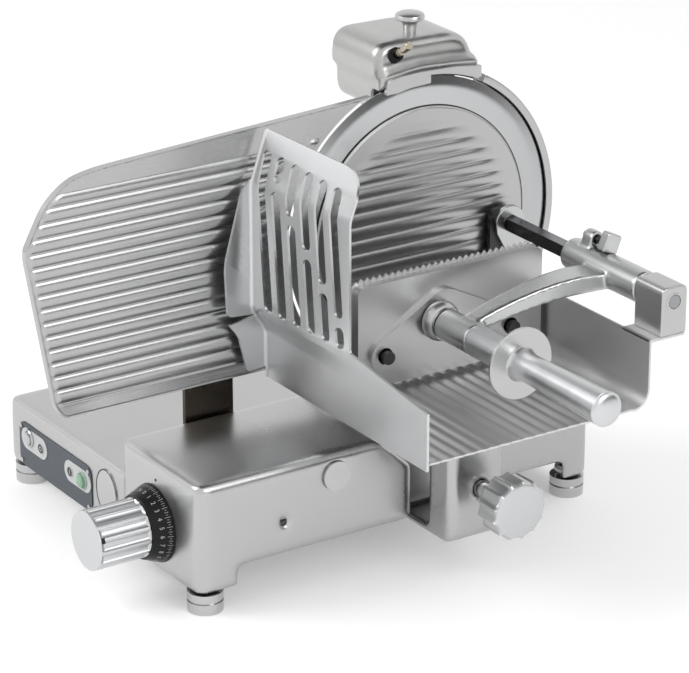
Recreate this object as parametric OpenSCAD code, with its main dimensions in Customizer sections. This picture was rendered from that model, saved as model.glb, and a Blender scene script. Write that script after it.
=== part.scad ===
/* [Blade] */
// Diameter of the circular knife
blade_d = 350; // [330:1:360]
// Thickness of the knife behind its bevel
blade_t = 5; // [4:0.1:5.4]
// Width of the bright bevelled band that the cover leaves free
blade_band = 34; // [24:1:40]
// Height of the knife's axis above the bench
blade_axis_z = 322; // [320:1:330]
// Thickness of the cover plate in front of the knife
cover_t = 4.5; // [3:0.1:6]
// Width of the fixed ring around the knife
ring_w = 9; // [7:0.5:12]

/* [Base] */
// Reach of the low base behind the blade plane
low_reach = 282; // [270:1:320]
// Height of the low base
low_top = 105; // [102:1:108]
// Height of the tall housing
high_top = 152; // [150:1:154]
// Reach of the tall housing in front of the blade plane
high_reach = 160; // [150:1:163]
// Reach of the rear part of the housing
rear_reach = 128; // [120:1:136]
// Distance from the knife's axis to the front of the base
base_front = 394; // [394:1:410]
// Distance from the knife's axis to the back of the base
base_back = 153; // [145:1:170]
// Wall of the castings
cast_wall = 6; // [4:0.5:7]
// Height of the feet
foot_h = 23; // [20:0.5:26]
// Diameter of the feet
foot_d = 40; // [34:1:44]

/* [Gauge plate] */
// Length of the gauge plate along the top, from the knife's axis
gauge_reach = 503; // [480:1:515]
// Height of the plate's lower edge
gauge_bottom = 191; // [186:1:196]
// Height of the plate's top edge at the knife
gauge_top = 487; // [480:1:494]
// Thickness of the plate's skin
gauge_t = 5; // [4:0.1:6]
// Pitch of the ribs on the plate and on the knife's cover
rib_pitch = 16; // [12:0.5:20]
// How far the ribs stand out
rib_h = 2.6; // [1.5:0.1:3]
// Opening of the gauge plate at its widest
slice_max = 20; // [14:1:22]

/* [Carriage] */
// Reach of the table's outer edge in front of the blade plane
table_reach = 322; // [312:1:335]
// Width of the table between the guard and the end wall
table_w = 291; // [285:1:295]
// Height of the table's surface
table_top = 197; // [195:1:200]
// Thickness of the table's floor
table_t = 4.5; // [3.5:0.1:6]
// Pitch of the table's ribs
table_pitch = 15; // [12:0.5:18]
// Height of the hand guard above the bench
guard_top = 478; // [460:1:490]
// Width of the hand guard across the machine
guard_w = 168; // [155:1:180]
// Thickness of the guard's sheet
guard_t = 5; // [3.5:0.1:6]
// Travel of the carriage towards the operator
carriage_travel = 225; // [150:1:228]

/* [Meat press] */
// Across flats of the square press rod
rod_af = 14.5; // [13:0.1:15.5]
// Diameter of the rod's round ends
rod_d = 20; // [18:0.5:22]
// Height of the press rod's axis
rod_z = 310; // [300:1:316]
// Width of the press plate
press_w = 246; // [220:1:250]
// Height of the press plate
press_h = 120; // [105:1:125]
// Diameter of the handle's round guard disc
disc_d = 81; // [70:1:86]
// Diameter of the grip at its outer end
grip_d = 38; // [34:1:40]
// Length of the grip
grip_len = 146; // [130:1:150]

/* [Knobs and buttons] */
// Diameter of the fluted thickness knob
knob_d = 67; // [60:1:72]
// Length of the fluted thickness knob
knob_len = 63; // [50:1:70]
// Diameter of the black dial behind it
dial_d = 89; // [84:1:94]
// Diameter of the lobed lock knob
lobe_knob_d = 70; // [60:1:76]
// Diameter of the two push buttons
button_d = 16; // [13:0.5:18]
// Travel of the push buttons
button_travel = 3; // [2:0.5:4]

/* [Hidden] */

cut = 1;
fit = 0.05;
seat = 0.3;
right_angle = 90;
full_turn = 360;
$fn = 48;

// The knife, its cover and its spindle
blade_r = blade_d / 2;
blade_face = 1;
blade_back = blade_face + blade_t;
edge_t = 0.4;
edge_depth = 3.5;
bevel_w = 15;
back_bevel_w = 4;
cover_r = blade_r - blade_band;
cover_gap = 0.5;
cover_front = cover_t - cover_gap;
cover_rib_h = 2.6;
cover_rib_w = 6;
cover_rib_inset = 13;
cover_rib_r = cover_r - cover_rib_inset;
cover_rib_n = floor(cover_rib_r * 2 / rib_pitch);
hub_hole_d = 57;
hub_flange_d = 92;
hub_flange_t = 6;
hub_back = blade_back + hub_flange_t;
spindle_d = 30;
spindle_bore_d = 15;
spindle_len = 88;
tie_rod_d = 12;
tie_bite = 2;
tie_knob_d = 44;
tie_knob_t = 18;
blade_screw_d = 7;
blade_screw_n = 4;
blade_screw_r = 37;

// The ring and the hollow head that carry the knife
ring_gap = 2;
ring_in_r = blade_r + ring_gap;
ring_out_r = ring_in_r + ring_w;
web_front = hub_back + ring_gap;
web_t = 4;
web_in_r = 62;
ring_back = web_front + web_t;
ring_from = -120;
ring_turn = 182;
head_front = ring_back;
head_depth = 84;
head_back = head_front + head_depth;
head_r = 78;
head_foot_half = 70;
head_wall = 6;
head_cover_t = 6;
barrel_d = 78;
bearing_d = 62;
bearing_w = 16;
bearing_hole_d = 36;
barrel_back = head_front + head_wall * 2 + bearing_w;
belt_gap = 4;
pulley_front = barrel_back + belt_gap;
pulley_w = 24;
pulley_back = pulley_front + pulley_w;
bridge_front = pulley_back + belt_gap;
bridge_len = 20;
bridge_half = 20;
bridge_back = bridge_front + bridge_len;
head_post_half = 26;
head_post_front = 40;

// The belt drive and the motor
pulley_r = 55;
belt_seat_r = 51;
motor_pulley_r = 22;
motor_seat_r = 18;
belt_w = 16;
belt_t = 3;
belt_in = pulley_front + (pulley_w - belt_w) / 2;
motor_z = 62;
motor_d = 64;
motor_front = pulley_back + head_wall;
motor_clear = 42;
motor_len = low_reach - motor_front - motor_clear;
motor_back = motor_front + motor_len;
motor_shaft_d = 14;
motor_shaft_in = 46;
fin_n = 9;
fin_w = 6;
fin_depth = 3;
cradle_half = 38;
cradle_share = 0.75;
cradle_len = motor_len * cradle_share;
belt_hole_half = 42;

// The base casting
draft = 6;
low_left = low_reach + draft;
low_front = base_front - 8;
high_left = 8;
base_r = 14;
edge_r = 9;
fillet_r = 12;
high_back = 114;
slope_top_y = 163;
slope_low_z = 110;
rear_gap = 18;
rear_top = blade_axis_z - ring_out_r - rear_gap;
slot_z = 48;
col_front = 111;
slot_clear = 5;
slot_front = col_front + carriage_travel + slot_clear;
slot_back = 115;
foot_inset = 19;
foot_left_inset = 22;
foot_boss_r = 16;
foot_boss_h = 15;
foot_stud_d = 10;
foot_groove = 2;
foot_groove_z = 12;
bulkhead_y = 349;
bulkhead_t = 6;
post_d = 14;
post_inset = 40;
post_right_x = 60;
plug_d = 33;
plug_t = 3;
plug_stem_d = 20;
plug_y = 219;
plug_z = 126;
side_hole_d = 9;
side_hole_y = 285;
side_hole_z = 86;
bottom_t = 2;
bottom_right = 66;
gland_d = 22;
gland_hex_d = 28;
gland_len = 16;
gland_hex_len = 6;
gland_hole_d = 9;
gland_x = 200;
gland_z = 55;

// The control panel on the low base
panel_t = 1.2;
panel_left_inset = 25;
panel_left = low_reach - panel_left_inset;
panel_right = 86;
panel_low = 28;
panel_top = 83;
panel_r = 12;
pill_share = 0.357;
pill_w = (panel_left - panel_right) * pill_share;
pill_h = 26;
pill_t = 0.8;
stop_pill_gap = 6.5;
start_pill_gap = 0.5;
stop_pill_x = panel_left - stop_pill_gap - pill_w / 2;
start_pill_x = panel_right + start_pill_gap + pill_w / 2;
pill_z = 65;
start_drop = 3;
stop_inset = 26;
start_inset = 19;
stop_x = panel_left - stop_inset;
start_x = panel_right + start_inset;
disc_share = 0.46;
disc_shift = pill_w * disc_share;
signal_d = 11;
signal_t = 1.2;
button_rim = 2;
button_out = button_rim + button_travel;
button_collar_d = 21;
button_collar_t = 3;
housing_d = 28;
housing_cavity_d = 22;
housing_len = 26;
housing_floor = 4;
board_t = 1.6;
board_low = 40;
panel_screw_d = 5;
panel_screw_t = 1.4;
screw_inset = 6;
oval_x = 52;
oval_z = 66;
oval_w = 46;
oval_h = 56;
oval_step = 6;
oval_t = 1;

// The gauge plate, the bar that carries it and the knob that moves it
gauge_gap = 3.5;
gauge_clear_r = blade_r + gauge_gap;
gauge_rib_x = 1.4;
gauge_face = gauge_rib_x + rib_h;
gauge_rib_low = 20;
gauge_back = gauge_face + gauge_t;
gauge_rib_w = 7;
gauge_rib_n = floor((gauge_top - gauge_bottom - gauge_rib_low) / rib_pitch);
gauge_rib_drop = 40;
gauge_rib_top = gauge_top - gauge_rib_drop - gauge_rib_w;
gauge_rib_inset = 13;
gauge_rib_left = gauge_reach - gauge_rib_inset;
gauge_rib_clear = 26;
gauge_rib_clear_r = ring_out_r + gauge_rib_clear;
gauge_rim = 6;
gauge_right = 60;
gauge_low_end = [[29, 16], [41, 0]];
gauge_high_end = [[82, -20], [53, -27], [25, -49], [6, -84], [0, -96], [0, -108]];
arm_t = 6;
arm_y = 277;
arm_half = 31;
arm_low = 119;
arm_high = 300;
bar_d = 26;
bar_z = 127;
bar_len = 120;
bar_boss_d = 38;
bar_boss_in = 10;
bar_rib_in = 66;
bar_rib_out = 74;
bar_rib_low = 100;
bar_rib_half = 30;
clamp_in = 40;
clamp_out = 56;
clamp_d = 34;
follower_low = 118;
follower_top = 136;
follower_front = 372;
leg_t = 12;
leg_low = 70;
roller_d = 14;
roller_gap = 0.8;
window_in = 14;
window_out = 62;
window_low = 112;
window_top = 142;
knob_x = 68;
knob_z = 78;
dial_t = 22;
dial_front_d = knob_d + 5;
flute_n = 14;
flute_d = 10;
thick_shaft_d = 16;
shaft_bite = 10;
cam_r = 12;
cam_front = 386;
cam_w = 12;
cam_turn = 300;
cam_step = 10;
knob_back = base_front + seat + dial_t;
knob_front = knob_back + knob_len;

// The carriage
rod_x = 100;
guide_z = 48;
guide_d = 18;
bar2_x = 30;
bar2_z = 60;
bar2_d = 12;
rod_bite = 3;
col_in = 174;
col_out = 222;
col_back = 36;
col_low = 37;
col_r = 12;
lower_t = 8;
block_half = 19;
block_low = 28;
block_top = 66;
block_front = 108;
block_back = 40;
side_arm_half = 10;
side_arm_half_y = 12;
arm_mid_y = 74;
bush_d = 28;
bush_len = 18;
upper_low = 164;
upper_in = 60;
table_in = 12;
table_low = table_top - table_t;
table_front = 207;
table_back = table_w - table_front;
table_rib_h = 1.8;
table_rib_w = 7;
table_rib_inset = 7;
table_rib_from = table_front - table_rib_inset;
table_tooth = 3;
bend_r = 25;
table_rib_n = floor((table_w - bend_r - table_rib_inset) / table_pitch) + 1;
end_wall_t = 4.5;
end_wall_h = 75;
end_wall_top = table_top + end_wall_h;
tab_len = 50;
tab_in = table_reach - tab_len;
tab_w = 44;
tab_back = table_back + tab_w;
lock_y = 68;
lock_z = 96;
lock_shaft_d = 20;
lock_bite = 26;
lock_knob_gap = 33;
lock_knob_len = 40;
lobe_n = 13;
lobe_d = 13;

// The hand guard
guard_low = 188;
guard_in = 8;
guard_pivot = 175;
guard_over = 8;
guard_turn = 6.5;
guard_wall_top = 262;
guard_shelf_t = 4;
guard_shelf_z = 256;
guard_shelf_w = 23;
guard_panel_z = 254;
guard_inset = 2;
guard_crease = 412;
guard_lean = 20;
guard_r = 14;
guard_wall_out_z = 253;
guard_slots = 6;
guard_slot_w = 12;
guard_slot_pitch = 25;
guard_slot_x = 152;
guard_slot_low = 280;
guard_slot_break = 318;
guard_slot_step = 8;
guard_slot_bridge = 14;
guard_flare_top = 468;
flap_t = 4;
flap_high = [[-243, 412], [-265, 336], [-263, 272], [-227, 262], [-227, 412]];
flap_low = [[-260, 261], [-224, 261], [-208, 202], [-236, 201]];

// The meat press
rod_gap = 27;
rod_y = table_back + rod_gap;
end_block_inset = 2;
end_block_in = tab_in + end_block_inset;
end_block_half = 17.5;
end_block_r = 9;
end_block_rise = 18;
end_block_top = rod_z + end_block_rise;
bracket_in = 9;
bracket_foot_t = 28;
bracket_top_t = 12;
bracket_r = 21;
bracket_low = 200;
rod_square_in = 22;
sleeve_d = 38;
sleeve_in = 140;
arch_in = 184;
arch_eye_w = 22;
arch_root_w = 42;
arch_curve = [[64, 317], [36, 315], [9, 311], [-18, 305], [-43, 298], [-66, 290], [-78, 280],
  [-73, 262], [-60, 262], [-57, 279], [-37, 283], [-17, 287], [10, 292], [37, 295], [64, 296]];
arch_low = 4;
arch_end = 95;
eye_in = 158;
eye_out = 216;
plate_in = 120;
plate_t = 12;
plate_out = plate_in + plate_t;
plate_lift = 6;
plate_low = table_top + plate_lift;
plate_gap = 10;
plate_right = table_back - plate_gap;
plate_side = 37;
plate_w = min(press_w, table_w - plate_side);
plate_r = 9;
plate_left = plate_w - plate_right;
plate_top = plate_low + press_h;
teeth_t = 3;
tooth_h = 5;
tooth_n = 30;
tooth_half = plate_w / tooth_n / 2;
tooth_corner_r = 22;
boss_t = 6;
boss_mid = [-62, 272];
boss_mid_r = 30;
boss_side_r = 18;
handle_y = 73;
handle_z = 270;
collar_d = 46;
collar_len = 18;
handle_tube_d = 36;
handle_core_d = 30;
disc_x = 292;
disc_t = 4;
grip_start_d = 31;
cap_t = 7;
press_stud_d = 15;
press_hole_d = 19;
press_stud_out = 14;
stud_left_inset = 32;
stud_right_inset = 46;
stud_left = plate_left - stud_left_inset;
stud_right = plate_right - stud_right_inset;
stud_z = 240;
pin_back = 5;
pin_up = 27;
pin_y = rod_y + pin_back;
pin_z = rod_z + pin_up;
pin_d = 9;
pin_in = 122;
pin_boss_in = 160;
pin_boss_out = 178;
pin_boss_r = 9;
lever_in = 185;
lever_out = 204;
lever_hub_r = 8;
lever_h = 16;
lever_w = 14;
lever_shift = 6;

// The sharpener on top of the ring
sharp_left = 62;
sharp_right = 72;
sharp_back = 92;
sharp_front = 5;
ring_top = blade_axis_z + ring_out_r;
sharp_drop = 50;
sharp_rise = 37;
sharp_low = ring_top - sharp_drop;
sharp_top = ring_top + sharp_rise;
sharp_r = 26;
sharp_wall = 4;
sharp_clear = 0.4;
flange_face = 7;
flange_left = 46;
flange_right = 84;
flange_lap = 16;
flange_in_r = ring_in_r - flange_lap;
mushroom_x = 25;
mushroom_d = 33;
mushroom_t = 15;
mushroom_rise = 23;
mushroom_top = sharp_top + mushroom_rise;
mushroom_dome_d = 38;
mushroom_stem_d = 12;
mushroom_drop = 45;
mushroom_low = sharp_top - mushroom_drop;
debur_x = 3;
debur_y = 41;
debur_drop = 18;
debur_z = sharp_top - debur_drop;
debur_d = 9.5;
debur_out = 36;
debur_in = 34;
debur_tilt = 57;
debur_boss_d = 15;
debur_boss_from = -26;
stone_d = 32;
stone_t = 9;
stone_face = 7;
stone_shaft_d = 8;
stone_back = 60;
stone_y = [-14, 36];
stone_reach = 5;
stone_z = [for (y = stone_y) blade_axis_z + sqrt(pow(blade_r + stone_reach, 2) - y * y)];
stone_rib_in = 38;
stone_rib_out = 44;

// The model stands with the middle of its outer box over the origin
grip_end = disc_x + disc_t + grip_len + cap_t;
mid_x = (grip_end - low_left) / 2;
mid_y = (ring_out_r - gauge_reach) / 2;

module at_bench() translate([-mid_x, -mid_y, 0]) children();
module along_x(x0, x1) translate([x0, 0, 0]) rotate([right_angle, 0, right_angle])
  linear_extrude(x1 - x0) children();
module along_y(y0, y1) translate([0, y1, 0]) rotate([right_angle, 0, 0]) linear_extrude(y1 - y0)
  children();
module along_z(z0, z1) translate([0, 0, z0]) linear_extrude(z1 - z0) children();
module rod_x(x0, x1, y, z, d) translate([x0, y, z]) rotate([0, right_angle, 0])
  cylinder(d = d, h = x1 - x0);
module rod_y(y0, y1, x, z, d) translate([x, y0, z]) rotate([-right_angle, 0, 0])
  cylinder(d = d, h = y1 - y0);
module rod_z(z0, z1, x, y, d) translate([x, y, z0]) cylinder(d = d, h = z1 - z0);
module block(x0, x1, y0, y1, z0, z1) translate([x0, y0, z0]) cube([x1 - x0, y1 - y0, z1 - z0]);
module round_out(r) offset(r = r) offset(delta = -r) children();
module disc_at(y, z, r) translate([y, z]) circle(r);

// Outer box of the base, drawn smaller by the inset for its hollow
module base_plan() round_out(base_r) polygon([[-low_left, -low_front], [-high_left, -low_front],
  [-high_left, -base_front], [high_reach, -base_front], [high_reach, -high_back],
  [rear_reach, -high_back], [rear_reach, base_back], [-low_left, base_back]]);
module low_profile() round_out(edge_r) polygon([[-low_left - draft, 0], [-low_left + draft, low_top],
  [rear_reach, low_top], [rear_reach, 0]]);
module tall_profile() round_out(edge_r) polygon([[-high_left, 0], [-high_left, high_top],
  [high_reach, high_top], [high_reach, 0]]);
module rear_profile() round_out(edge_r) polygon([[-high_left, 0], [-high_left, rear_top],
  [rear_reach, rear_top], [rear_reach, 0]]);
module tall_side() round_out(edge_r) polygon([[-base_front, 0], [-base_front, high_top],
  [-slope_top_y, high_top], [-high_back, slope_low_z], [-high_back, 0]]);
module base_shape(inset) intersection() {
  along_z(foot_h - inset, high_top) offset(delta = -inset) base_plan();
  union() {
    along_y(-base_front, base_back) offset(delta = -inset) low_profile();
    intersection() {
      along_y(-base_front, base_back) offset(delta = -inset) tall_profile();
      along_x(-high_left, high_reach) offset(delta = -inset) tall_side();
    }
    along_y(-slope_top_y, base_back) offset(delta = -inset) rear_profile();
  }
}
module foot_places() {
  translate([high_reach - foot_inset, foot_inset - base_front]) children();
  translate([rear_reach - foot_inset, base_back - foot_inset]) children();
  translate([foot_left_inset - low_left, foot_inset - low_front]) children();
  translate([foot_left_inset - low_left, base_back - foot_inset]) children();
}
module post_places() {
  for (x = [post_inset - low_left, -post_right_x], y = [foot_inset + post_inset - base_front,
    base_back - post_inset]) translate([x, y]) children();
}

module base_casting() color("gainsboro") at_bench() difference() {
  union() {
    difference() {
      base_shape(0);
      base_shape(cast_wall);
    }
    intersection() {
      along_y(base_r - low_front, -slope_top_y) translate([-high_left - fillet_r, low_top])
        difference() {
        square(fillet_r);
        translate([0, fillet_r]) circle(fillet_r);
      }
      along_z(foot_h, high_top) base_plan();
    }
    intersection() {
      along_z(foot_h, foot_h + foot_boss_h) base_plan();
      along_z(foot_h, foot_h + foot_boss_h) foot_places() circle(foot_boss_r);
    }
    along_z(foot_h + bottom_t, low_top - cast_wall) post_places() circle(d = post_d);
    intersection() {
      base_shape(cast_wall);
      block(-high_left + cast_wall, high_reach, -bulkhead_y, bulkhead_t - bulkhead_y,
        foot_h + foot_boss_h, high_top);
    }
    rod_x(-high_left, bar_boss_in, -arm_y, bar_z, bar_boss_d);
    block(bar_rib_in, bar_rib_out, -arm_y - bar_rib_half, bar_rib_half - arm_y, bar_rib_low,
      high_top - cast_wall);
  }
  block(rear_reach - cast_wall * 2, high_reach + cut, -slot_front, slot_back, 0, slot_z);
  along_z(0, foot_h + foot_boss_h + cut) foot_places() circle(d = foot_stud_d);
  block(-bridge_front - bridge_half / 2, -head_post_front, -belt_hole_half, belt_hole_half,
    low_top - cast_wall * 2, low_top + cut);
  rod_x(-high_left - cut, bar_rib_out + cut, -arm_y, bar_z, bar_d + fit * 2);
  rod_y(-base_front - cut, bulkhead_t + cut - bulkhead_y, knob_x, knob_z, thick_shaft_d + fit * 2);
  rod_y(-bulkhead_y - cut, base_back - rod_bite, rod_x, guide_z, guide_d);
  rod_y(-bulkhead_y - cut, base_back - rod_bite, bar2_x, bar2_z, bar2_d);
  block(window_in, window_out, -bulkhead_y - cut, bulkhead_t + cut - bulkhead_y, window_low,
    window_top);
  for (x = [-stop_x, -start_x]) rod_y(-low_front - cut, cast_wall + cut - low_front, x, x == -stop_x
    ? pill_z + start_drop : pill_z - start_drop, button_d + fit * 2);
  rod_x(high_reach - cast_wall - cut, high_reach + cut, -plug_y, plug_z, plug_stem_d);
  rod_x(high_reach - cast_wall - cut, high_reach + cut, -side_hole_y, side_hole_z, side_hole_d);
  rod_y(base_back - cast_wall - cut, base_back + cut, -gland_x, gland_z, gland_d - fit * 2);
}

module bottom_cover() color("dimgray") at_bench() difference() {
  along_z(foot_h, foot_h + bottom_t) intersection() {
    offset(delta = -cast_wall - draft) base_plan();
    translate([-low_left, -base_front]) square([low_left - bottom_right / 2, base_front + base_back]);
  }
  along_z(foot_h - cut, foot_h + bottom_t + cut) foot_places() circle(foot_boss_r + seat);
}

module feet() color("black") at_bench() foot_places() {
  difference() {
    cylinder(d = foot_d, h = foot_h);
    translate([0, 0, foot_groove_z]) difference() {
      cylinder(d = foot_d + cut, h = foot_groove);
      translate([0, 0, -cut]) cylinder(d = foot_d - foot_groove * 2, h = foot_groove + cut * 2);
    }
  }
  translate([0, 0, foot_h]) cylinder(d = foot_stud_d, h = foot_boss_h);
}

module control_panel() color("gray") at_bench() difference() {
  along_y(-low_front - panel_t, -low_front) round_out(panel_r) translate([-panel_left, panel_low])
    square([panel_left - panel_right, panel_top - panel_low]);
  button_bores(low_front);
}
module button_bores(y) {
  rod_y(-y - pill_t - panel_t - cut, cast_wall - y, -stop_x, pill_z + start_drop, button_d + fit * 2);
  rod_y(-y - pill_t - panel_t - cut, cast_wall - y, -start_x, pill_z - start_drop, button_d + fit * 2);
}

module panel_screws() color("silver") at_bench()
  for (x = [-panel_left + screw_inset, -panel_right - screw_inset],
    z = [panel_low + screw_inset, panel_top - screw_inset])
    rod_y(-low_front - panel_t - panel_screw_t, -low_front - panel_t, x, z, panel_screw_d);

module pill() round_out(pill_h / 2 - seat) square([pill_w, pill_h], center = true);
module button_plates() color("darkgray") at_bench() difference() {
  along_y(-low_front - panel_t - pill_t, -low_front - panel_t) {
    translate([-stop_pill_x, pill_z]) pill();
    translate([-start_pill_x, pill_z - start_drop]) pill();
  }
  button_bores(low_front);
}

module button_housings() color("black") at_bench()
  for (side = [[-stop_x, pill_z + start_drop], [-start_x, pill_z - start_drop]])
  difference() {
    rod_y(cast_wall - low_front, cast_wall + housing_len - low_front, side[0], side[1], housing_d);
    rod_y(cast_wall - low_front - cut, cast_wall + housing_len - housing_floor - low_front, side[0],
      side[1], housing_cavity_d);
  }

module signal_discs() color("darkslategray") at_bench() {
  rod_y(-low_front - panel_t - pill_t - signal_t, -low_front - panel_t - pill_t, disc_shift - stop_x,
    pill_z, signal_d);
  rod_y(-low_front - panel_t - pill_t - signal_t, -low_front - panel_t - pill_t, -disc_shift - start_x,
    pill_z - start_drop, signal_d);
}

module oval_plate() color("silver") at_bench() along_y(-low_front - oval_t, -low_front)
  translate([-oval_x, oval_z]) polygon([for (a = [0 : oval_step : full_turn - oval_step])
    [oval_w / 2 * cos(a), oval_h / 2 * sin(a)]]);

module push_button(x, z) {
  rod_y(-low_front - panel_t - pill_t - button_out, cast_wall + seat - low_front, x, z, button_d);
  rod_y(cast_wall + seat - low_front, cast_wall + seat + button_collar_t - low_front, x, z,
    button_collar_d);
}
module start_button() color("limegreen") at_bench() push_button(-start_x, pill_z - start_drop);
module stop_button() color("silver") at_bench() push_button(-stop_x, pill_z + start_drop);

module switch_board() color("darkgreen") at_bench()
  block(-panel_left, -panel_right, cast_wall + housing_len - low_front,
    cast_wall + housing_len + board_t - low_front, board_low, panel_top);

module cable_gland() color("black") at_bench() difference() {
  union() {
    rod_y(base_back - cast_wall, base_back + gland_len, -gland_x, gland_z, gland_d - fit * 2);
    translate([-gland_x, base_back + gland_hex_len, gland_z]) rotate([right_angle, 0, 0])
      cylinder(d = gland_hex_d, h = gland_hex_len, $fn = 6);
  }
  rod_y(base_back - cast_wall - cut, base_back + gland_len + cut, -gland_x, gland_z, gland_hole_d);
}

module blank_cap() color("black") at_bench() {
  rod_x(high_reach, high_reach + plug_t, -plug_y, plug_z, plug_d);
  rod_x(high_reach - cast_wall, high_reach, -plug_y, plug_z, plug_stem_d);
}

module motor() color("gray") at_bench() difference() {
  rod_x(-motor_back, -motor_front, 0, motor_z, motor_d);
  rod_x(-motor_back + fin_w, -motor_front + cut, 0, motor_z, motor_shaft_d + fit * 2);
  for (i = [1 : fin_n]) translate([-motor_front - i * fin_w * 2, 0, 0]) difference() {
    rod_x(0, fin_w, 0, motor_z, motor_d + cut);
    rod_x(-cut, fin_w + cut, 0, motor_z, motor_d - fin_depth * 2);
  }
}

module motor_cradle() color("darkgray") at_bench() difference() {
  block(-motor_back + head_wall, -motor_back + cradle_len, -cradle_half, cradle_half, motor_z,
    low_top - cast_wall);
  rod_x(-motor_back, -motor_front, 0, motor_z, motor_d);
}

module motor_shaft() color("silver") at_bench()
  rod_x(-motor_back + fin_w * 2, -motor_shaft_in, 0, motor_z, motor_shaft_d);

module pulley_profile(r, seat_r, bore_r)
  polygon([[bore_r, pulley_front], [r, pulley_front], [r, belt_in - seat],
  [seat_r, belt_in - seat], [seat_r, belt_in + belt_w + seat], [r, belt_in + belt_w + seat],
    [r, pulley_back], [bore_r, pulley_back]]);
module motor_pulley() color("silver") at_bench() translate([0, 0, motor_z]) rotate([0, -right_angle, 0])
  rotate_extrude()
  pulley_profile(motor_pulley_r, motor_seat_r, motor_shaft_d / 2);
module driven_pulley() color("silver") at_bench() translate([0, 0, blade_axis_z])
  rotate([0, -right_angle, 0]) rotate_extrude($fn = 96)
  pulley_profile(pulley_r, belt_seat_r, spindle_d / 2);

module belt_outline(grow) hull() {
  disc_at(0, motor_z, motor_seat_r + grow);
  disc_at(0, blade_axis_z, belt_seat_r + grow);
}
module drive_belt() color("black") at_bench() along_x(-belt_in - belt_w, -belt_in) difference() {
  belt_outline(belt_t + seat, $fn = 96);
  belt_outline(seat, $fn = 96);
}

module head_outline(inset) hull() {
  disc_at(0, blade_axis_z, head_r - inset);
  translate([inset - head_foot_half, low_top]) square([(head_foot_half - inset) * 2, head_wall]);
}
module blade_head() color("gainsboro") at_bench() difference() {
  union() {
    along_x(-head_back, -head_front) head_outline(0);
    block(-sharp_back + head_wall, -head_post_front, -head_post_half, head_post_half, blade_axis_z,
      sharp_low);
  }
  difference() {
    along_x(-head_back - cut, -head_front - head_wall) head_outline(head_wall);
    along_x(-barrel_back, -head_front) disc_at(0, blade_axis_z, barrel_d / 2);
    block(-bridge_back, -bridge_front, -head_r, head_r, blade_axis_z - bridge_half,
      blade_axis_z + bridge_half);
    along_x(-bridge_back, -bridge_front) disc_at(0, blade_axis_z, barrel_d / 2);
  }
  block(-head_back - cut, -head_front - head_wall, head_wall - head_foot_half,
    head_foot_half - head_wall, low_top - cut, low_top + head_wall);
  rod_x(-barrel_back - cut, -barrel_back + head_wall + bearing_w, 0, blade_axis_z, bearing_d);
  rod_x(-bridge_back - cut, -bridge_front - bridge_len + bearing_w, 0, blade_axis_z, bearing_d);
  rod_x(-bridge_back - cut, cut - head_front, 0, blade_axis_z, bearing_hole_d);
}

module head_cover() color("gainsboro") at_bench() difference() {
  along_x(-head_back - head_cover_t, -head_back) head_outline(0);
  rod_x(-head_back - head_cover_t - cut, cut - head_back, 0, blade_axis_z, tie_rod_d);
}

module spindle_bearings() color("silver") at_bench() difference() {
  union() {
    rod_x(-barrel_back + head_wall, -barrel_back + head_wall + bearing_w, 0, blade_axis_z, bearing_d);
    rod_x(-bridge_back, -bridge_back + bearing_w, 0, blade_axis_z, bearing_d);
  }
  rod_x(-bridge_back - cut, 0, 0, blade_axis_z, spindle_d + fit * 2);
}

module spindle() color("silver") at_bench() difference() {
  union() {
    rod_x(-hub_back, -blade_back, 0, blade_axis_z, hub_flange_d);
    rod_x(-blade_back, -blade_face - seat, 0, blade_axis_z, hub_hole_d);
    rod_x(-hub_back - spindle_len + seat, -hub_back, 0, blade_axis_z, spindle_d);
  }
  rod_x(-head_back, 0, 0, blade_axis_z, spindle_bore_d);
  screw_places() rod_x(-hub_back - cut, 0, 0, blade_axis_z, blade_screw_d);
}
module screw_places() for (i = [1 : blade_screw_n]) translate([0, 0, blade_axis_z])
  rotate([i * full_turn / blade_screw_n, 0, 0])
  translate([0, blade_screw_r, -blade_axis_z]) children();

module blade() color("silver") at_bench() difference() {
  translate([0, 0, blade_axis_z]) rotate([0, -right_angle, 0]) rotate_extrude($fn = 180)
    polygon([[hub_hole_d / 2, blade_face],
    [blade_r - bevel_w, blade_face], [blade_r, edge_depth], [blade_r, edge_depth + edge_t],
      [blade_r - back_bevel_w, blade_back],
    [hub_hole_d / 2, blade_back]]);
  screw_places() rod_x(-blade_back - cut, 0, 0, blade_axis_z, blade_screw_d);
}
module blade_screws() color("dimgray") at_bench() screw_places()
  rod_x(-hub_back, -blade_face, 0, blade_axis_z, blade_screw_d);

module blade_cover() color("silver") at_bench() difference() {
  union() {
    rod_x(-cover_gap, cover_front, 0, blade_axis_z, cover_r * 2, $fn = 180);
    intersection() {
      rod_x(cover_front - cut, cover_front + cover_rib_h, 0, blade_axis_z, cover_rib_r * 2, $fn = 96);
      for (i = [-cover_rib_n / 2 : cover_rib_n / 2])
        translate([0, 0, blade_axis_z + i * rib_pitch + rib_pitch / 2])
        block(cover_front - cut, cover_front + cover_rib_h, -cover_rib_r, cover_rib_r, -cover_rib_w / 2,
          cover_rib_w / 2);
    }
  }
  rod_x(-cover_gap - cut, tie_bite - cover_gap, 0, blade_axis_z, tie_rod_d);
}
module cover_tie_rod() color("silver") at_bench() {
  rod_x(-head_back - head_cover_t, tie_bite - cover_gap, 0, blade_axis_z, tie_rod_d);
  rod_x(-head_back - head_cover_t - tie_knob_t, -head_back - head_cover_t, 0, blade_axis_z, tie_knob_d);
}

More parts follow.
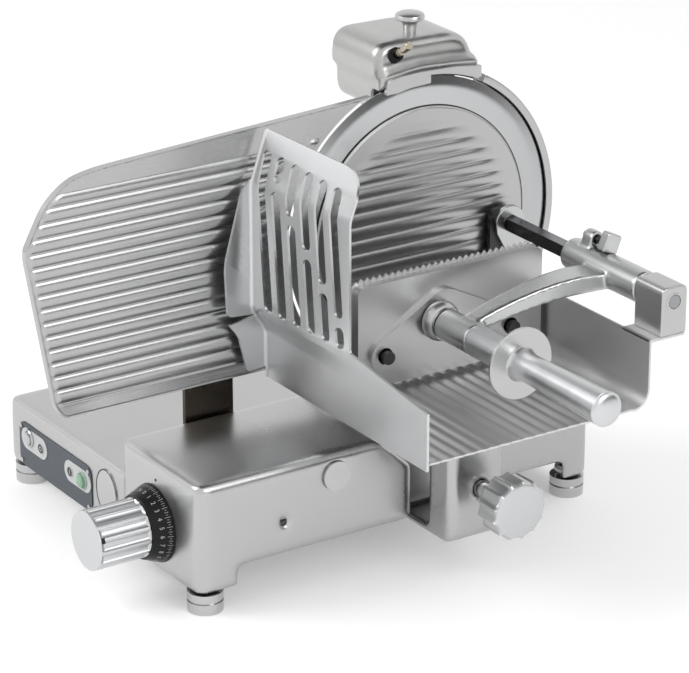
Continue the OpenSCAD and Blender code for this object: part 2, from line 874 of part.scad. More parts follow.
module guard_ring() color("gainsboro") at_bench() translate([0, 0, blade_axis_z])
  rotate([right_angle, 0, right_angle])
  rotate([0, 0, ring_from]) rotate_extrude(angle = ring_turn, $fn = 180)
    polygon([[web_in_r, -ring_back], [ring_out_r, -ring_back],
    [ring_out_r, 0], [ring_in_r, 0], [ring_in_r, -web_front], [web_in_r, -web_front]]);

module gauge_outline() difference() {
  round_out(edge_r) polygon(concat(
    [for (p = gauge_low_end) [p[0] - gauge_reach, p[1] + gauge_bottom]],
    [[-gauge_right, gauge_bottom], [-gauge_right, gauge_top]],
    [for (p = gauge_high_end) [p[0] - gauge_reach, p[1] + gauge_top]]));
  disc_at(0, blade_axis_z, gauge_clear_r, $fn = 180);
}
module gauge_ribs() difference() {
  intersection() {
    gauge_outline();
    for (i = [0 : gauge_rib_n - 1]) translate([-gauge_rib_left, gauge_rib_top - i * rib_pitch])
      square([gauge_rib_left, gauge_rib_w]);
  }
  disc_at(0, blade_axis_z, gauge_rib_clear_r, $fn = 96);
}
module gauge_plate() color("silver") at_bench() {
  along_x(-gauge_back, -gauge_face) gauge_outline();
  along_x(-gauge_face - cut, -gauge_rib_x) {
    gauge_ribs();
    difference() {
      gauge_outline();
      offset(delta = -gauge_rim) gauge_outline();
    }
  }
}

module gauge_arm() color("gray") at_bench()
  block(-gauge_back - arm_t, -gauge_back, -arm_y - arm_half, arm_half - arm_y, arm_low, arm_high);
module gauge_bar() color("silver") at_bench()
  rod_x(-gauge_back, bar_len - gauge_back, -arm_y, bar_z, bar_d);
module cam_follower() color("slategray") at_bench() difference() {
  union() {
    rod_x(clamp_in, clamp_out, -arm_y, bar_z, clamp_d);
    block(clamp_in, clamp_out, -follower_front, -arm_y, follower_low, follower_top);
    block(clamp_in, clamp_out, -follower_front, leg_t - follower_front, leg_low, follower_top);
    rod_y(-cam_front, -follower_front, knob_x - cam_r - roller_d / 2 - roller_gap, knob_z, roller_d);
  }
  rod_x(clamp_in - cut, clamp_out + cut, -arm_y, bar_z, bar_d);
}

module thickness_knob() color("silver") at_bench() difference() {
  rod_y(-knob_front, -knob_back, knob_x, knob_z, knob_d);
  for (i = [1 : flute_n]) translate([knob_x, -knob_front - cut, knob_z])
    rotate([0, i * full_turn / flute_n, 0])
    translate([knob_d / 2 + flute_d / 4, 0, 0]) rotate([-right_angle, 0, 0])
      cylinder(d = flute_d, h = knob_len + cut * 2, $fn = 24);
  rod_y(-knob_back - shaft_bite, cut - knob_back, knob_x, knob_z, thick_shaft_d);
}
module thickness_dial() color("black") at_bench() difference() {
  translate([knob_x, -base_front - seat, knob_z]) rotate([right_angle, 0, 0])
    cylinder(d1 = dial_d, d2 = dial_front_d, h = dial_t, $fn = 96);
  rod_y(-knob_back - cut, cut - base_front, knob_x, knob_z, thick_shaft_d);
}
module thickness_cam() color("slategray") at_bench() {
  rod_y(-knob_back - shaft_bite, bulkhead_t - bulkhead_y, knob_x, knob_z, thick_shaft_d);
  along_y(-cam_front, cam_w - cam_front) translate([knob_x, knob_z]) polygon(concat(
    [for (a = [0 : cam_step : cam_turn]) (cam_r + slice_max * a / cam_turn) * [-cos(a), -sin(a)]],
    [for (a = [cam_turn + cam_step * 3 : cam_step : full_turn - cam_step])
      cam_r * [-cos(a), -sin(a)]]));
}

module guide_rods() color("silver") at_bench() {
  rod_y(-bulkhead_y, base_back - rod_bite, rod_x, guide_z, guide_d);
  rod_y(-bulkhead_y, base_back - rod_bite, bar2_x, bar2_z, bar2_d);
}

module carriage_arm() color("gainsboro") at_bench() difference() {
  union() {
    intersection() {
      along_z(col_low, table_low) round_out(col_r) translate([col_in, -col_front])
        square([col_out - col_in, col_front - col_back]);
      along_y(-col_front, -col_back) round_out(col_r) translate([col_in, col_low])
        square([col_out - col_in, high_reach + col_low]);
    }
    block(rod_x, col_in + col_r, -col_front, -col_back, col_low, col_low + lower_t);
    block(rod_x - block_half, rod_x + block_half, -block_front, -block_back, block_low, block_top);
    block(bar2_x, rod_x, -arm_mid_y - side_arm_half_y, side_arm_half_y - arm_mid_y,
      bar2_z - side_arm_half / 2, bar2_z + side_arm_half / 2);
    rod_y(-arm_mid_y - side_arm_half_y, side_arm_half_y - arm_mid_y, bar2_x, bar2_z, side_arm_half * 2);
    block(upper_in, col_in + col_r, -col_front, -col_back, upper_low, table_low);
  }
  rod_y(-col_front - cut, -col_back + cut, rod_x, guide_z, bush_d);
  rod_y(-col_front - cut, -col_back + cut, bar2_x, bar2_z, bar2_d + fit * 2);
  rod_x(col_out - lock_bite, col_out + cut, -lock_y, lock_z, lock_shaft_d + fit * 2);
}
module carriage_bushes() color("goldenrod") at_bench() for (y = [-block_front, -block_back - bush_len])
  difference() {
  rod_y(y, y + bush_len, rod_x, guide_z, bush_d);
  rod_y(y - cut, y + bush_len + cut, rod_x, guide_z, guide_d + fit * 2);
}

module carriage_table() color("silver") at_bench() {
  along_x(table_in, table_reach - table_tooth) {
    translate([-table_front, table_low]) square([table_w - bend_r, table_t - table_rib_h]);
    translate([table_back - bend_r, table_low + bend_r]) intersection() {
      difference() {
        circle(bend_r);
        circle(bend_r - end_wall_t);
      }
      translate([0, -bend_r]) square(bend_r);
    }
    translate([table_back - end_wall_t, table_low + bend_r])
      square([end_wall_t, end_wall_top - table_low - bend_r]);
  }
  block(tab_in, table_reach, table_back - end_wall_t, tab_back, end_wall_top - end_wall_t,
    end_wall_top);
  for (i = [0 : table_rib_n - 1]) block(table_in, table_reach, i * table_pitch - table_rib_from,
    i * table_pitch - table_rib_from + table_rib_w, table_low + cut, table_top);
}

module on_guard() translate([guard_pivot, -table_front, 0]) rotate([0, 0, guard_turn]) children();
module hand_guard() color("silver") at_bench() difference() {
  union() {
    along_y(-table_front - guard_t, -table_front)
      polygon([[guard_in, guard_low], [table_reach, guard_low],
      [table_reach, guard_wall_out_z], [table_reach - bend_r, guard_wall_out_z],
        [guard_pivot, guard_wall_top + guard_r], [guard_in, guard_wall_top]]);
    along_z(guard_shelf_z, guard_shelf_z + guard_shelf_t)
      polygon([[guard_in, -table_front - guard_t / 2], [guard_in, -table_front - guard_shelf_w],
      [guard_pivot, -table_front - guard_t / 2]]);
    on_guard() intersection() {
      along_x(guard_inset - guard_w, guard_over)
        polygon([[-guard_t, guard_panel_z], [-guard_t, guard_crease],
        [(guard_top - guard_crease) * tan(guard_lean) - guard_t, guard_top],
          [(guard_top - guard_crease) * tan(guard_lean), guard_top],
        [0, guard_crease], [0, guard_panel_z]]);
      along_y(-guard_t * 2, guard_w) round_out(guard_r) translate([-guard_w, guard_low])
        square([guard_w + guard_over, guard_top - guard_low]);
    }
    along_x(guard_in, guard_in + flap_t) polygon(flap_high);
    along_x(guard_in, guard_in + flap_t) polygon(flap_low);
  }
  on_guard() for (i = [0 : guard_slots - 1]) translate([-guard_slot_x + i * guard_slot_pitch, 0, 0])
    along_y(-guard_t * 2, guard_w / 2) {
      translate([0, guard_slot_low]) square([guard_slot_w,
        guard_slot_break + i * guard_slot_step - guard_slot_low]);
      translate([0, guard_slot_break + i * guard_slot_step + guard_slot_bridge])
        square([guard_slot_w, guard_flare_top - guard_slot_break - i * guard_slot_step - guard_slot_bridge]);
    }
}

module rod_bracket() color("gainsboro") at_bench() difference() {
  intersection() {
    along_y(table_back, rod_y + bracket_r)
      polygon([[bracket_in, bracket_low], [bracket_in + bracket_foot_t, bracket_low],
      [bracket_in + bracket_top_t, rod_z - bracket_r], [bracket_in + bracket_top_t, rod_z + bracket_r],
        [bracket_in, rod_z + bracket_r]]);
    along_x(bracket_in, bracket_in + bracket_foot_t) hull() {
      disc_at(rod_y, rod_z, bracket_r);
      translate([table_back, bracket_low]) square([rod_y + bracket_r - table_back, bracket_r]);
    }
  }
  rod_x(bracket_in - cut, bracket_in + bracket_foot_t, rod_y, rod_z, rod_d + fit * 2);
}

module end_block() color("silver") at_bench() difference() {
  along_x(end_block_in, table_reach) {
    for (side = [end_block_r - end_block_half, end_block_half - end_block_r])
      disc_at(rod_y + side, end_block_top - end_block_r, end_block_r);
    translate([rod_y - end_block_half + end_block_r, end_wall_top])
      square([(end_block_half - end_block_r) * 2, end_block_top - end_wall_top]);
    translate([rod_y - end_block_half, end_wall_top])
      square([end_block_half * 2, end_block_top - end_block_r - end_wall_top]);
  }
  rod_x(end_block_in - cut, table_reach + cut, rod_y, rod_z, rod_d + fit * 2);
}

module lock_knob() color("silver") at_bench() {
  rod_x(col_out - lock_bite, col_out + lock_knob_gap, -lock_y, lock_z, lock_shaft_d);
  difference() {
    rod_x(col_out + lock_knob_gap, col_out + lock_knob_gap + lock_knob_len, -lock_y, lock_z,
      lobe_knob_d);
    for (i = [1 : lobe_n]) translate([col_out + lock_knob_gap - cut, -lock_y, lock_z])
      rotate([i * full_turn / lobe_n, 0, 0])
      translate([0, lobe_knob_d / 2 + lobe_d / 4, 0]) rotate([0, right_angle, 0])
        cylinder(d = lobe_d, h = lock_knob_len + cut * 2, $fn = 24);
  }
}

module press_rod() color("dimgray") at_bench() {
  rod_x(bracket_in, rod_square_in, rod_y, rod_z, rod_d);
  block(rod_square_in, end_block_in - seat, rod_y - rod_af / 2, rod_y + rod_af / 2, rod_z - rod_af / 2,
    rod_z + rod_af / 2);
  rod_x(end_block_in - seat, table_reach, rod_y, rod_z, rod_d);
}

module press_arm() color("gainsboro") at_bench() difference() {
  union() {
    rod_x(sleeve_in, end_block_in - seat * 2, rod_y, rod_z, sleeve_d);
    intersection() {
      along_x(arch_in, arch_in + arch_root_w) polygon(concat(arch_curve,
        [[rod_y, rod_z - rod_d / 2 - arch_low], [rod_y, rod_z + arch_low]]));
      linear_extrude(rod_z + rod_d) polygon([[arch_in, -arch_end], [arch_in + arch_eye_w, -arch_end],
        [arch_in + arch_root_w, rod_y], [arch_in, rod_y]]);
    }
    rod_x(eye_in, eye_out, -handle_y, handle_z, handle_tube_d);
    along_x(pin_boss_in, pin_boss_out) hull() {
      disc_at(pin_y, pin_z, pin_boss_r);
      disc_at(rod_y, rod_z + pin_boss_r, pin_boss_r);
    }
  }
  block(sleeve_in - cut, end_block_in + cut, rod_y - rod_af / 2 - fit, rod_y + rod_af / 2 + fit,
    rod_z - rod_af / 2 - fit, rod_z + rod_af / 2 + fit);
  rod_x(eye_in - cut, eye_out + cut, -handle_y, handle_z, handle_core_d);
  rod_x(pin_boss_in - cut, pin_boss_out + cut, pin_y, pin_z, pin_d + fit * 2);
}

module plate_outline() round_out(plate_r) translate([-plate_left, plate_low])
  square([plate_w, press_h]);
module press_plate() color("silver") at_bench() difference() {
  union() {
    along_x(plate_in, plate_out) plate_outline();
    along_x(plate_out - cut, plate_out + boss_t) {
      hull() {
        disc_at(-stud_left, stud_z, boss_side_r);
        translate(boss_mid) circle(boss_mid_r);
      }
      hull() {
        disc_at(stud_right, stud_z, boss_side_r);
        translate(boss_mid) circle(boss_mid_r);
      }
    }
  }
  for (y = [-stud_left, stud_right])
    rod_x(plate_in - cut, plate_out + boss_t + cut, y, stud_z, press_hole_d);
}
module press_teeth() color("silver") at_bench() along_x(plate_in - teeth_t, plate_in) intersection() {
  polygon(concat([for (i = [0 : tooth_n * 2])
    [i * tooth_half - plate_left, plate_low - (i % 2) * tooth_h]],
    [for (i = [tooth_n * 2 : -1 : 0]) [i * tooth_half - plate_left, plate_top + (i % 2) * tooth_h]]));
  round_out(tooth_corner_r) translate([-plate_left - tooth_h, plate_low - tooth_h])
    square([plate_w + tooth_h * 2, press_h + tooth_h * 2]);
}
module press_studs() color("gray") at_bench() for (y = [-stud_left, stud_right])
  rod_x(plate_in, plate_out + press_stud_out, y, stud_z, press_stud_d);

module handle_tube() color("gainsboro") at_bench() {
  rod_x(plate_out + boss_t, disc_x, -handle_y, handle_z, handle_core_d);
  rod_x(eye_out + seat, disc_x, -handle_y, handle_z, handle_tube_d);
  translate([plate_out + boss_t, -handle_y, handle_z]) rotate([0, right_angle, 0]) rotate_extrude()
    intersection() {
    circle(d = collar_d);
    square([collar_d, collar_len]);
  }
}
module handle_disc() color("silver") at_bench()
  rod_x(disc_x, disc_x + disc_t, -handle_y, handle_z, disc_d, $fn = 96);
module handle_grip() color("gainsboro") at_bench() translate([disc_x + disc_t, -handle_y, handle_z])
  rotate([0, right_angle, 0]) {
  cylinder(d1 = grip_start_d, d2 = grip_d, h = grip_len);
  translate([0, 0, grip_len]) cylinder(d1 = grip_d, d2 = grip_d * 2 / 3, h = cap_t);
}

module lock_lever() color("dimgray") at_bench() {
  rod_x(pin_in, lever_out, pin_y, pin_z, pin_d);
  along_x(lever_in, lever_out) hull() {
    disc_at(pin_y, pin_z, lever_hub_r);
    disc_at(pin_y + lever_shift, pin_z + lever_h - lever_w / 2, lever_w / 2);
  }
}

module sharp_box(inset) intersection() {
  along_x(-sharp_back + inset, sharp_front - inset) offset(delta = -inset) round_out(sharp_r)
    translate([-sharp_left, sharp_low])
    square([sharp_left + sharp_right, sharp_top - sharp_low]);
  along_y(-sharp_left, sharp_right) offset(delta = -inset) round_out(sharp_r / 2)
    translate([-sharp_back, sharp_low])
    square([sharp_back + sharp_front, sharp_top - sharp_low]);
}
module debur_axis() translate([debur_x, -debur_y, debur_z]) rotate([0, debur_tilt, 0]) children();
module sharpener_housing() color("gainsboro") at_bench() difference() {
  union() {
    difference() {
      sharp_box(0);
      sharp_box(sharp_wall);
    }
    intersection() {
      sharp_box(sharp_wall);
      union() {
        block(-stone_rib_out, -stone_rib_in, -sharp_left, sharp_right, sharp_low, sharp_top);
        debur_axis() translate([0, 0, debur_boss_from])
          cylinder(d = debur_boss_d, h = -debur_boss_from);
      }
    }
  }
  rod_x(-ring_back - sharp_clear, sharp_front + cut, 0, blade_axis_z, ring_out_r * 2, $fn = 180);
  for (i = [0, 1]) rod_x(-stone_rib_out - cut, cut - stone_rib_in, stone_y[i], stone_z[i],
    stone_shaft_d + fit * 2);
  rod_z(sharp_top - sharp_wall - cut, sharp_top + cut, -mushroom_x, 0, mushroom_stem_d + fit * 2);
  debur_axis() translate([0, 0, -debur_in]) cylinder(d = debur_d + fit * 2, h = debur_in + debur_out);
}
module sharpener_flange() color("gainsboro") at_bench() intersection() {
  along_x(0, flange_face) difference() {
    disc_at(0, blade_axis_z, ring_out_r, $fn = 180);
    disc_at(0, blade_axis_z, flange_in_r, $fn = 180);
  }
  block(0, flange_face, -flange_left, flange_right, blade_axis_z, sharp_top);
}
module sharpener_button() color("gainsboro") at_bench() {
  rod_z(mushroom_low, mushroom_top - mushroom_t, -mushroom_x, 0, mushroom_stem_d);
  translate([-mushroom_x, 0, mushroom_top - mushroom_t]) intersection() {
    cylinder(d = mushroom_d, h = mushroom_t);
    translate([0, 0, mushroom_t - mushroom_d / 2 - seat * 2]) sphere(d = mushroom_dome_d);
  }
}
module deburring_pin() color("silver") at_bench() debur_axis() translate([0, 0, -debur_in])
  cylinder(d = debur_d, h = debur_in + debur_out);
module stone(i) {
  rod_x(-stone_face - stone_t, -stone_face, stone_y[i], stone_z[i], stone_d);
  rod_x(-stone_back, -stone_face - stone_t, stone_y[i], stone_z[i], stone_shaft_d);
}
module grinding_stone() color("sandybrown") at_bench() stone(0);
module truing_stone() color("tan") at_bench() stone(1);

base_casting();
bottom_cover();
feet();
control_panel();
panel_screws();
button_plates();
button_housings();
signal_discs();
oval_plate();
start_button();
stop_button();
switch_board();
cable_gland();
blank_cap();
motor();
motor_cradle();
motor_shaft();
motor_pulley();
drive_belt();
blade_head();
head_cover();
spindle_bearings();
spindle();
driven_pulley();
blade();
blade_screws();
blade_cover();
cover_tie_rod();
guard_ring();
gauge_plate();
gauge_arm();
gauge_bar();
cam_follower();
thickness_knob();
thickness_dial();
thickness_cam();
guide_rods();
carriage_arm();
carriage_bushes();
carriage_table();
hand_guard();
rod_bracket();
end_block();
lock_knob();
press_rod();
press_arm();
press_plate();
press_teeth();
press_studs();
handle_tube();
handle_disc();
handle_grip();
lock_lever();
sharpener_housing();
sharpener_flange();
sharpener_button();
deburring_pin();
grinding_stone();
truing_stone();
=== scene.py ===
# %% [markdown]
# # A vertical slicer for a delicatessen counter
#
# This file dresses a meat slicer that was built as solids. The solids give every
# size and every joint; what is made here is how the machine looks: cast and
# brushed aluminium, ground knife steel, a printed panel, and the small forms that
# a kitchen worker's hands and eyes would miss if they weren't there.
#
# The first cell loads the solids as a fixed frame. Nothing in the frame moves, so
# a new piece is made in the same metres and only told which body it rides on.

# %% Load the frame
import bpy, bmesh
from math import atan2, ceil, cos, degrees, floor, hypot, pi, radians, sin, sqrt
from mathutils import Vector, Matrix


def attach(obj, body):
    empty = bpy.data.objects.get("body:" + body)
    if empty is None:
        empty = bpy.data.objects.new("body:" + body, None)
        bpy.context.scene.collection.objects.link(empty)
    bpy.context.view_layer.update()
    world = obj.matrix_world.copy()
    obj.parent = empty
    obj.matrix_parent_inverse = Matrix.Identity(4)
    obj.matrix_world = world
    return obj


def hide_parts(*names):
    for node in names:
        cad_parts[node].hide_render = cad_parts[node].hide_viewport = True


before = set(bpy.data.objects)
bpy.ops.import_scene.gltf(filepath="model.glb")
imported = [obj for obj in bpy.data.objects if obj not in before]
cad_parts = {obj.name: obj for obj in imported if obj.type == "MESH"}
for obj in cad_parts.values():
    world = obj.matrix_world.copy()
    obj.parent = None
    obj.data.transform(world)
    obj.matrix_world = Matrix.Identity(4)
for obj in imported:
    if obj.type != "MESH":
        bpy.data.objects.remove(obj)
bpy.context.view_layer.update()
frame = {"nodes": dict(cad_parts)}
nodes, scene = frame["nodes"], bpy.context.scene

# %% [markdown]
# ## One origin for every measurement
#
# The machine was measured from the middle of its knife: across from the knife's
# plane, back from its axis, and up from the bench, all in millimetres. The frame's
# own origin is under the middle of the outer box, so one small function carries a
# measured point into the frame. Reading sizes as a fitter would write them keeps
# mistakes visible.

# %% Turn measured millimetres into the frame's metres
ACROSS, ALONG = 80.5, -158.5
KNIFE_Z = 322.0
KNOB_X, KNOB_Z = 68, 78
LOCK_Y, LOCK_Z = -68, 96
HANDLE_Y, HANDLE_Z = -73, 270
ROD_Y, ROD_Z = 111, 310


def at(x, y, z):
    return Vector(((x - ACROSS) / 1000, (y - ALONG) / 1000, z / 1000))


print("the knife's middle is at", tuple(round(v, 4) for v in at(0, 0, KNIFE_Z)))

# %% [markdown]
# ## The camera
#
# The photograph was taken with a long lens from the front right, a little above
# the machine. The place, the direction and the lens were worked out from the
# knife's circle and from edges that are parallel on the machine, so the camera is
# written as numbers, and is not aimed by eye. A long lens keeps the machine's
# lines nearly parallel, which is why product pictures use one.

# %% Set up the camera
CAMERA_AZIMUTH, CAMERA_ELEVATION = radians(56.8), radians(21.7)
CAMERA_PLACE = at(2903, -2003, 1590)
PHOTO_W, FOCAL_PX, SENSOR_MM = 689, 3300, 36
behind = Vector((sin(CAMERA_AZIMUTH) * cos(CAMERA_ELEVATION),
                 -cos(CAMERA_AZIMUTH) * cos(CAMERA_ELEVATION),
                 sin(CAMERA_ELEVATION)))
right = Vector((0, 0, 1)).cross(behind).normalized()
up = behind.cross(right)
camera = bpy.data.objects.new("camera", bpy.data.cameras.new("camera"))
scene.collection.objects.link(camera)
facing = Matrix((right, up, behind)).transposed().to_4x4()
camera.matrix_world = Matrix.Translation(CAMERA_PLACE) @ facing
camera.data.sensor_width = SENSOR_MM
camera.data.lens = FOCAL_PX / PHOTO_W * SENSOR_MM
camera.data.clip_end = 50
scene.camera = camera
print("lens", round(camera.data.lens, 1), "mm")

# %% [markdown]
# ## Light and background
#
# Bare metal shows its surroundings more than its own colour. A white room alone
# would make the machine look like white plastic, so the studio has a white world,
# two large soft lamps, a grey card overhead, which is what gives the tops of the
# castings their darker, satin look, and a dark card behind the machine's right
# side, whose reflection darkens upright metal. The world is plain white to the
# eye and in reflections, and a little weaker where it lights the machine.

# %% A helper that adds one shader node
def add(tree, kind, links=(), **settings):
    """Adds a node, sets its values, and links its inputs: links holds (input, source socket)."""
    node = tree.nodes.new("ShaderNode" + kind)
    for name, value in settings.items():
        if hasattr(node, name):
            setattr(node, name, value)
        else:
            node.inputs[name.replace("_", " ")].default_value = value
    for name, source in links:
        tree.links.new(source, node.inputs[name])
    return node


def colour(code):
    """sRGB hex to the linear colour that the shaders work in."""
    parts = [int(code[i:i + 2], 16) / 255 for i in (1, 3, 5)]
    return tuple(c / 12.92 if c <= 0.04045 else ((c + 0.055) / 1.055) ** 2.4 for c in parts) + (1.0,)


print("mid grey in linear light:", round(colour("#808080")[0], 3))

# %% The white world
def seen_by_eye(tree):
    """1 for rays from the camera, off shine or through glass, and 0 for rays that only light."""
    path = add(tree, "LightPath").outputs
    seen = path["Is Camera Ray"]
    for kind in ("Is Glossy Ray", "Is Transmission Ray"):
        seen = add(tree, "Math", [(0, seen), (1, path[kind])], operation="MAXIMUM").outputs[0]
    return seen


WORLD_LIGHT, FLOOR_GLOW = 0.62, 0.30
scene.view_settings.view_transform = "Standard"
world = bpy.data.worlds.new("studio")
scene.world = world
world.use_nodes = True
tree = world.node_tree
tree.nodes.clear()
level = add(tree, "MapRange", [("Value", seen_by_eye(tree))], To_Min=WORLD_LIGHT, To_Max=1.0)
sky = add(tree, "Background", [("Strength", level.outputs[0])], Color=(1, 1, 1, 1))
add(tree, "OutputWorld", [("Surface", sky.outputs[0])])
print("world ready")

# %% [markdown]
# A floor that is a touch off white keeps a soft shadow under the machine. The
# two cards are real objects with dull faces that show only in reflections.

# %% Floor, cards and lamps
def flat_material(name, code, rough):
    made = bpy.data.materials.new(name)
    made.use_nodes = True
    face = made.node_tree.nodes["Principled BSDF"]
    face.inputs["Base Color"].default_value = colour(code)
    face.inputs["Roughness"].default_value = rough
    return made


def plane(name, size, place, turn, material):
    mesh = bpy.data.meshes.new(name)
    w, h = size[0] / 2, size[1] / 2
    mesh.from_pydata([(-w, -h, 0), (w, -h, 0), (w, h, 0), (-w, h, 0)], [], [(0, 1, 2, 3)])
    made = bpy.data.objects.new(name, mesh)
    scene.collection.objects.link(made)
    made.location, made.rotation_euler = place, turn
    mesh.materials.append(material)
    return made


def card(name, size, place, turn, material):
    """A plane that shows only in reflections; turn is in degrees."""
    made = plane(name, size, place, [radians(t) for t in turn], material)
    made.visible_camera = made.visible_shadow = made.visible_diffuse = False


paper = flat_material("floor paper", "#F4F4F4", 0.95)
tree, face = paper.node_tree, paper.node_tree.nodes["Principled BSDF"]
glow = add(tree, "Math", [(0, seen_by_eye(tree))], operation="MULTIPLY")
glow.inputs[1].default_value = FLOOR_GLOW
tree.links.new(glow.outputs[0], face.inputs["Emission Strength"])
face.inputs["Emission Color"].default_value = (1, 1, 1, 1)
plane("floor", (24, 24), (0, 0, -0.0002), (0, 0, 0), paper)
card("overhead_card", (3.0, 3.0), (-0.6, 0.9, 2.6), (14, 0, 0), flat_material("grey card", "#6E6E70", 0.95))
card("side_card", (2.4, 1.1), (2.5, 1.9, 0.55), (90, 0, -52), flat_material("dark card", "#2C2C2E", 0.95))


def lamp(name, place, target, size, power):
    data = bpy.data.lights.new(name, "AREA")
    data.shape, data.size, data.size_y, data.energy = "RECTANGLE", size[0], size[1], power
    made = bpy.data.objects.new(name, data)
    scene.collection.objects.link(made)
    made.location = place
    made.rotation_euler = (Vector(place) - Vector(target)).to_track_quat("Z", "Y").to_euler()


lamp("key", (-1.6, -2.6, 2.6), (0, 0, 0.2), (1.8, 1.8), 52)
lamp("side", (2.8, 0.6, 1.7), (0, 0, 0.25), (1.4, 1.6), 22)
print("lamps and floor ready")

# %% [markdown]
# ## Metals
#
# Almost everything on this machine is bare metal, so the finishes differ in how
# they were worked and not much in colour. Each one starts from a real metal's
# reflectance, with metallic at 1, and gets its character from roughness: brushing
# leaves long fine lines that spread light across them, blasting leaves an even
# grain, and turning leaves rings about the lathe's axis. Real lines are about
# 0.1 mm apart. They are drawn two to four times as coarse, because nothing finer
# would show at this size of picture.

# %% What every finish shares
def surface(name):
    """A new material, its node tree, and the coordinates of the piece that wears it."""
    made = bpy.data.materials.new(name)
    made.use_nodes = True
    return made, made.node_tree, add(made.node_tree, "TexCoord").outputs["Object"]


def ramp(tree, source, low, high, start=0.3, end=0.7):
    """Carries a pattern's range from start to end over to low to high."""
    return add(tree, "MapRange", [("Value", source)], From_Min=start, From_Max=end,
               To_Min=low, To_Max=high).outputs[0]


def finish(tree, rough, pattern, code, dark, height, bump, depth_m=0.0001, metal=1.0):
    """Roughness, a tint from a dark share of the colour up to all of it, and relief."""
    face = tree.nodes["Principled BSDF"]
    shade = tuple(c * dark for c in colour(code)[:3]) + (1,)
    tint = add(tree, "MixRGB", [("Fac", pattern)], Color1=shade, Color2=colour(code))
    relief = add(tree, "Bump", [("Height", height)], Strength=bump, Distance=depth_m)
    tree.links.new(rough, face.inputs["Roughness"])
    tree.links.new(tint.outputs[0], face.inputs["Base Color"])
    tree.links.new(relief.outputs[0], face.inputs["Normal"])
    face.inputs["Metallic"].default_value = metal
    return face


print("shared steps ready")

# %% A brushed metal: lines along one direction
LINE_SCALE = 6


def brushed(name, code, rough, line_mm, along, bump=0.05, smudge=0.03):
    """along is 0, 1 or 2: the lines run along X, Y or Z."""
    made, tree, where = surface(name)
    pitch = [1000 / line_mm] * 3
    pitch[along] = LINE_SCALE
    stretched = add(tree, "Mapping", [("Vector", where)], Scale=pitch)
    lines = add(tree, "TexNoise", [("Vector", stretched.outputs[0])], Scale=1.0, Detail=3.0, Roughness=0.6)
    hands = add(tree, "TexNoise", [("Vector", where)], Scale=11.0, Detail=4.0)
    pattern = lines.outputs["Fac"]
    spread = ramp(tree, pattern, rough - smudge, rough + smudge)
    marks = ramp(tree, hands.outputs["Fac"], -smudge, smudge, 0.35)
    total = add(tree, "Math", [(0, spread), (1, marks)], operation="ADD")
    finish(tree, total.outputs[0], pattern, code, 0.94, pattern, bump, 0.0002)
    return made


sheet_steel_x = brushed("stainless steel sheet, brushed lengthwise", "#D6D6D6", 0.30, 0.5, 0)
sheet_steel_y = brushed("stainless steel sheet, brushed across", "#D6D6D6", 0.30, 0.5, 1)
plate_aluminium = brushed("anodised aluminium plate, brushed", "#B9B9B9", 0.27, 0.4, 1, 0.015, 0.012)
post_steel = brushed("dark steel bar, brushed", "#48433C", 0.26, 0.6, 2)
press_aluminium = brushed("aluminium plate, brushed", "#BDBDBD", 0.30, 0.5, 1, 0.02, 0.012)
print("brushed metals ready")

# %% A cast metal: even grain, with shine where hands rub the edges
def cast(name, code, rough, grain_mm, bump=0.25):
    made, tree, where = surface(name)
    grain = add(tree, "TexNoise", [("Vector", where)], Scale=1000 / grain_mm, Detail=2.0)
    clouds = add(tree, "TexNoise", [("Vector", where)], Scale=9.0, Detail=5.0, Roughness=0.55)
    edge = add(tree, "NewGeometry")
    rub = ramp(tree, edge.outputs["Pointiness"], 0.0, -0.1, 0.5, 0.6)
    even = ramp(tree, clouds.outputs["Fac"], rough - 0.05, rough + 0.05)
    total = add(tree, "Math", [(0, even), (1, rub)], operation="ADD")
    finish(tree, total.outputs[0], clouds.outputs["Fac"], code, 0.92, grain.outputs["Fac"], bump)
    return made


casting = cast("cast aluminium, blasted and anodised", "#C0C0C0", 0.30, 0.9, 0.15)
arm_casting = cast("cast aluminium, polished", "#C6C7C7", 0.30, 0.8, 0.15)
motor_casting = cast("cast aluminium, rough", "#A9ABAD", 0.55, 1.4)
bronze = cast("sintered bronze", "#B08A52", 0.45, 0.5)
bright_steel = cast("turned steel, polished", "#C4C4C5", 0.22, 0.6, 0.08)
dark_steel = cast("blackened steel", "#4A4A4C", 0.38, 0.6, 0.15)
print("cast metals ready")

# %% [markdown]
# A knife is ground while it turns, and a knob is turned on a lathe, so both carry
# rings about their own axis. The pattern's only input is the distance from that
# axis, which gives clean rings on faces of any shape. The axis lies along X or Y
# on this machine.

# %% A turned or ground metal: rings about an axis
def turned(name, code, rough, ring_mm, middle, axis, bump=0.02):
    """middle is a point on the axis, in the frame's metres; axis is 0 for X and 1 for Y."""
    made, tree, where = surface(name)
    keep = [1.0, 1.0, 1.0]
    keep[axis] = 0.0
    moved = add(tree, "Mapping", [("Vector", where)], vector_type="TEXTURE", Location=tuple(middle))
    flat = add(tree, "VectorMath", [(0, moved.outputs[0])], operation="MULTIPLY")
    flat.inputs[1].default_value = keep
    away = add(tree, "VectorMath", [(0, flat.outputs[0])], operation="LENGTH")
    rings = add(tree, "TexNoise", [("W", away.outputs["Value"])], noise_dimensions="1D",
                Scale=1000 / ring_mm, Detail=2.0)
    pattern = rings.outputs["Fac"]
    spread = ramp(tree, pattern, rough - 0.015, rough + 0.015)
    finish(tree, spread, pattern, code, 0.97, pattern, bump)
    return made


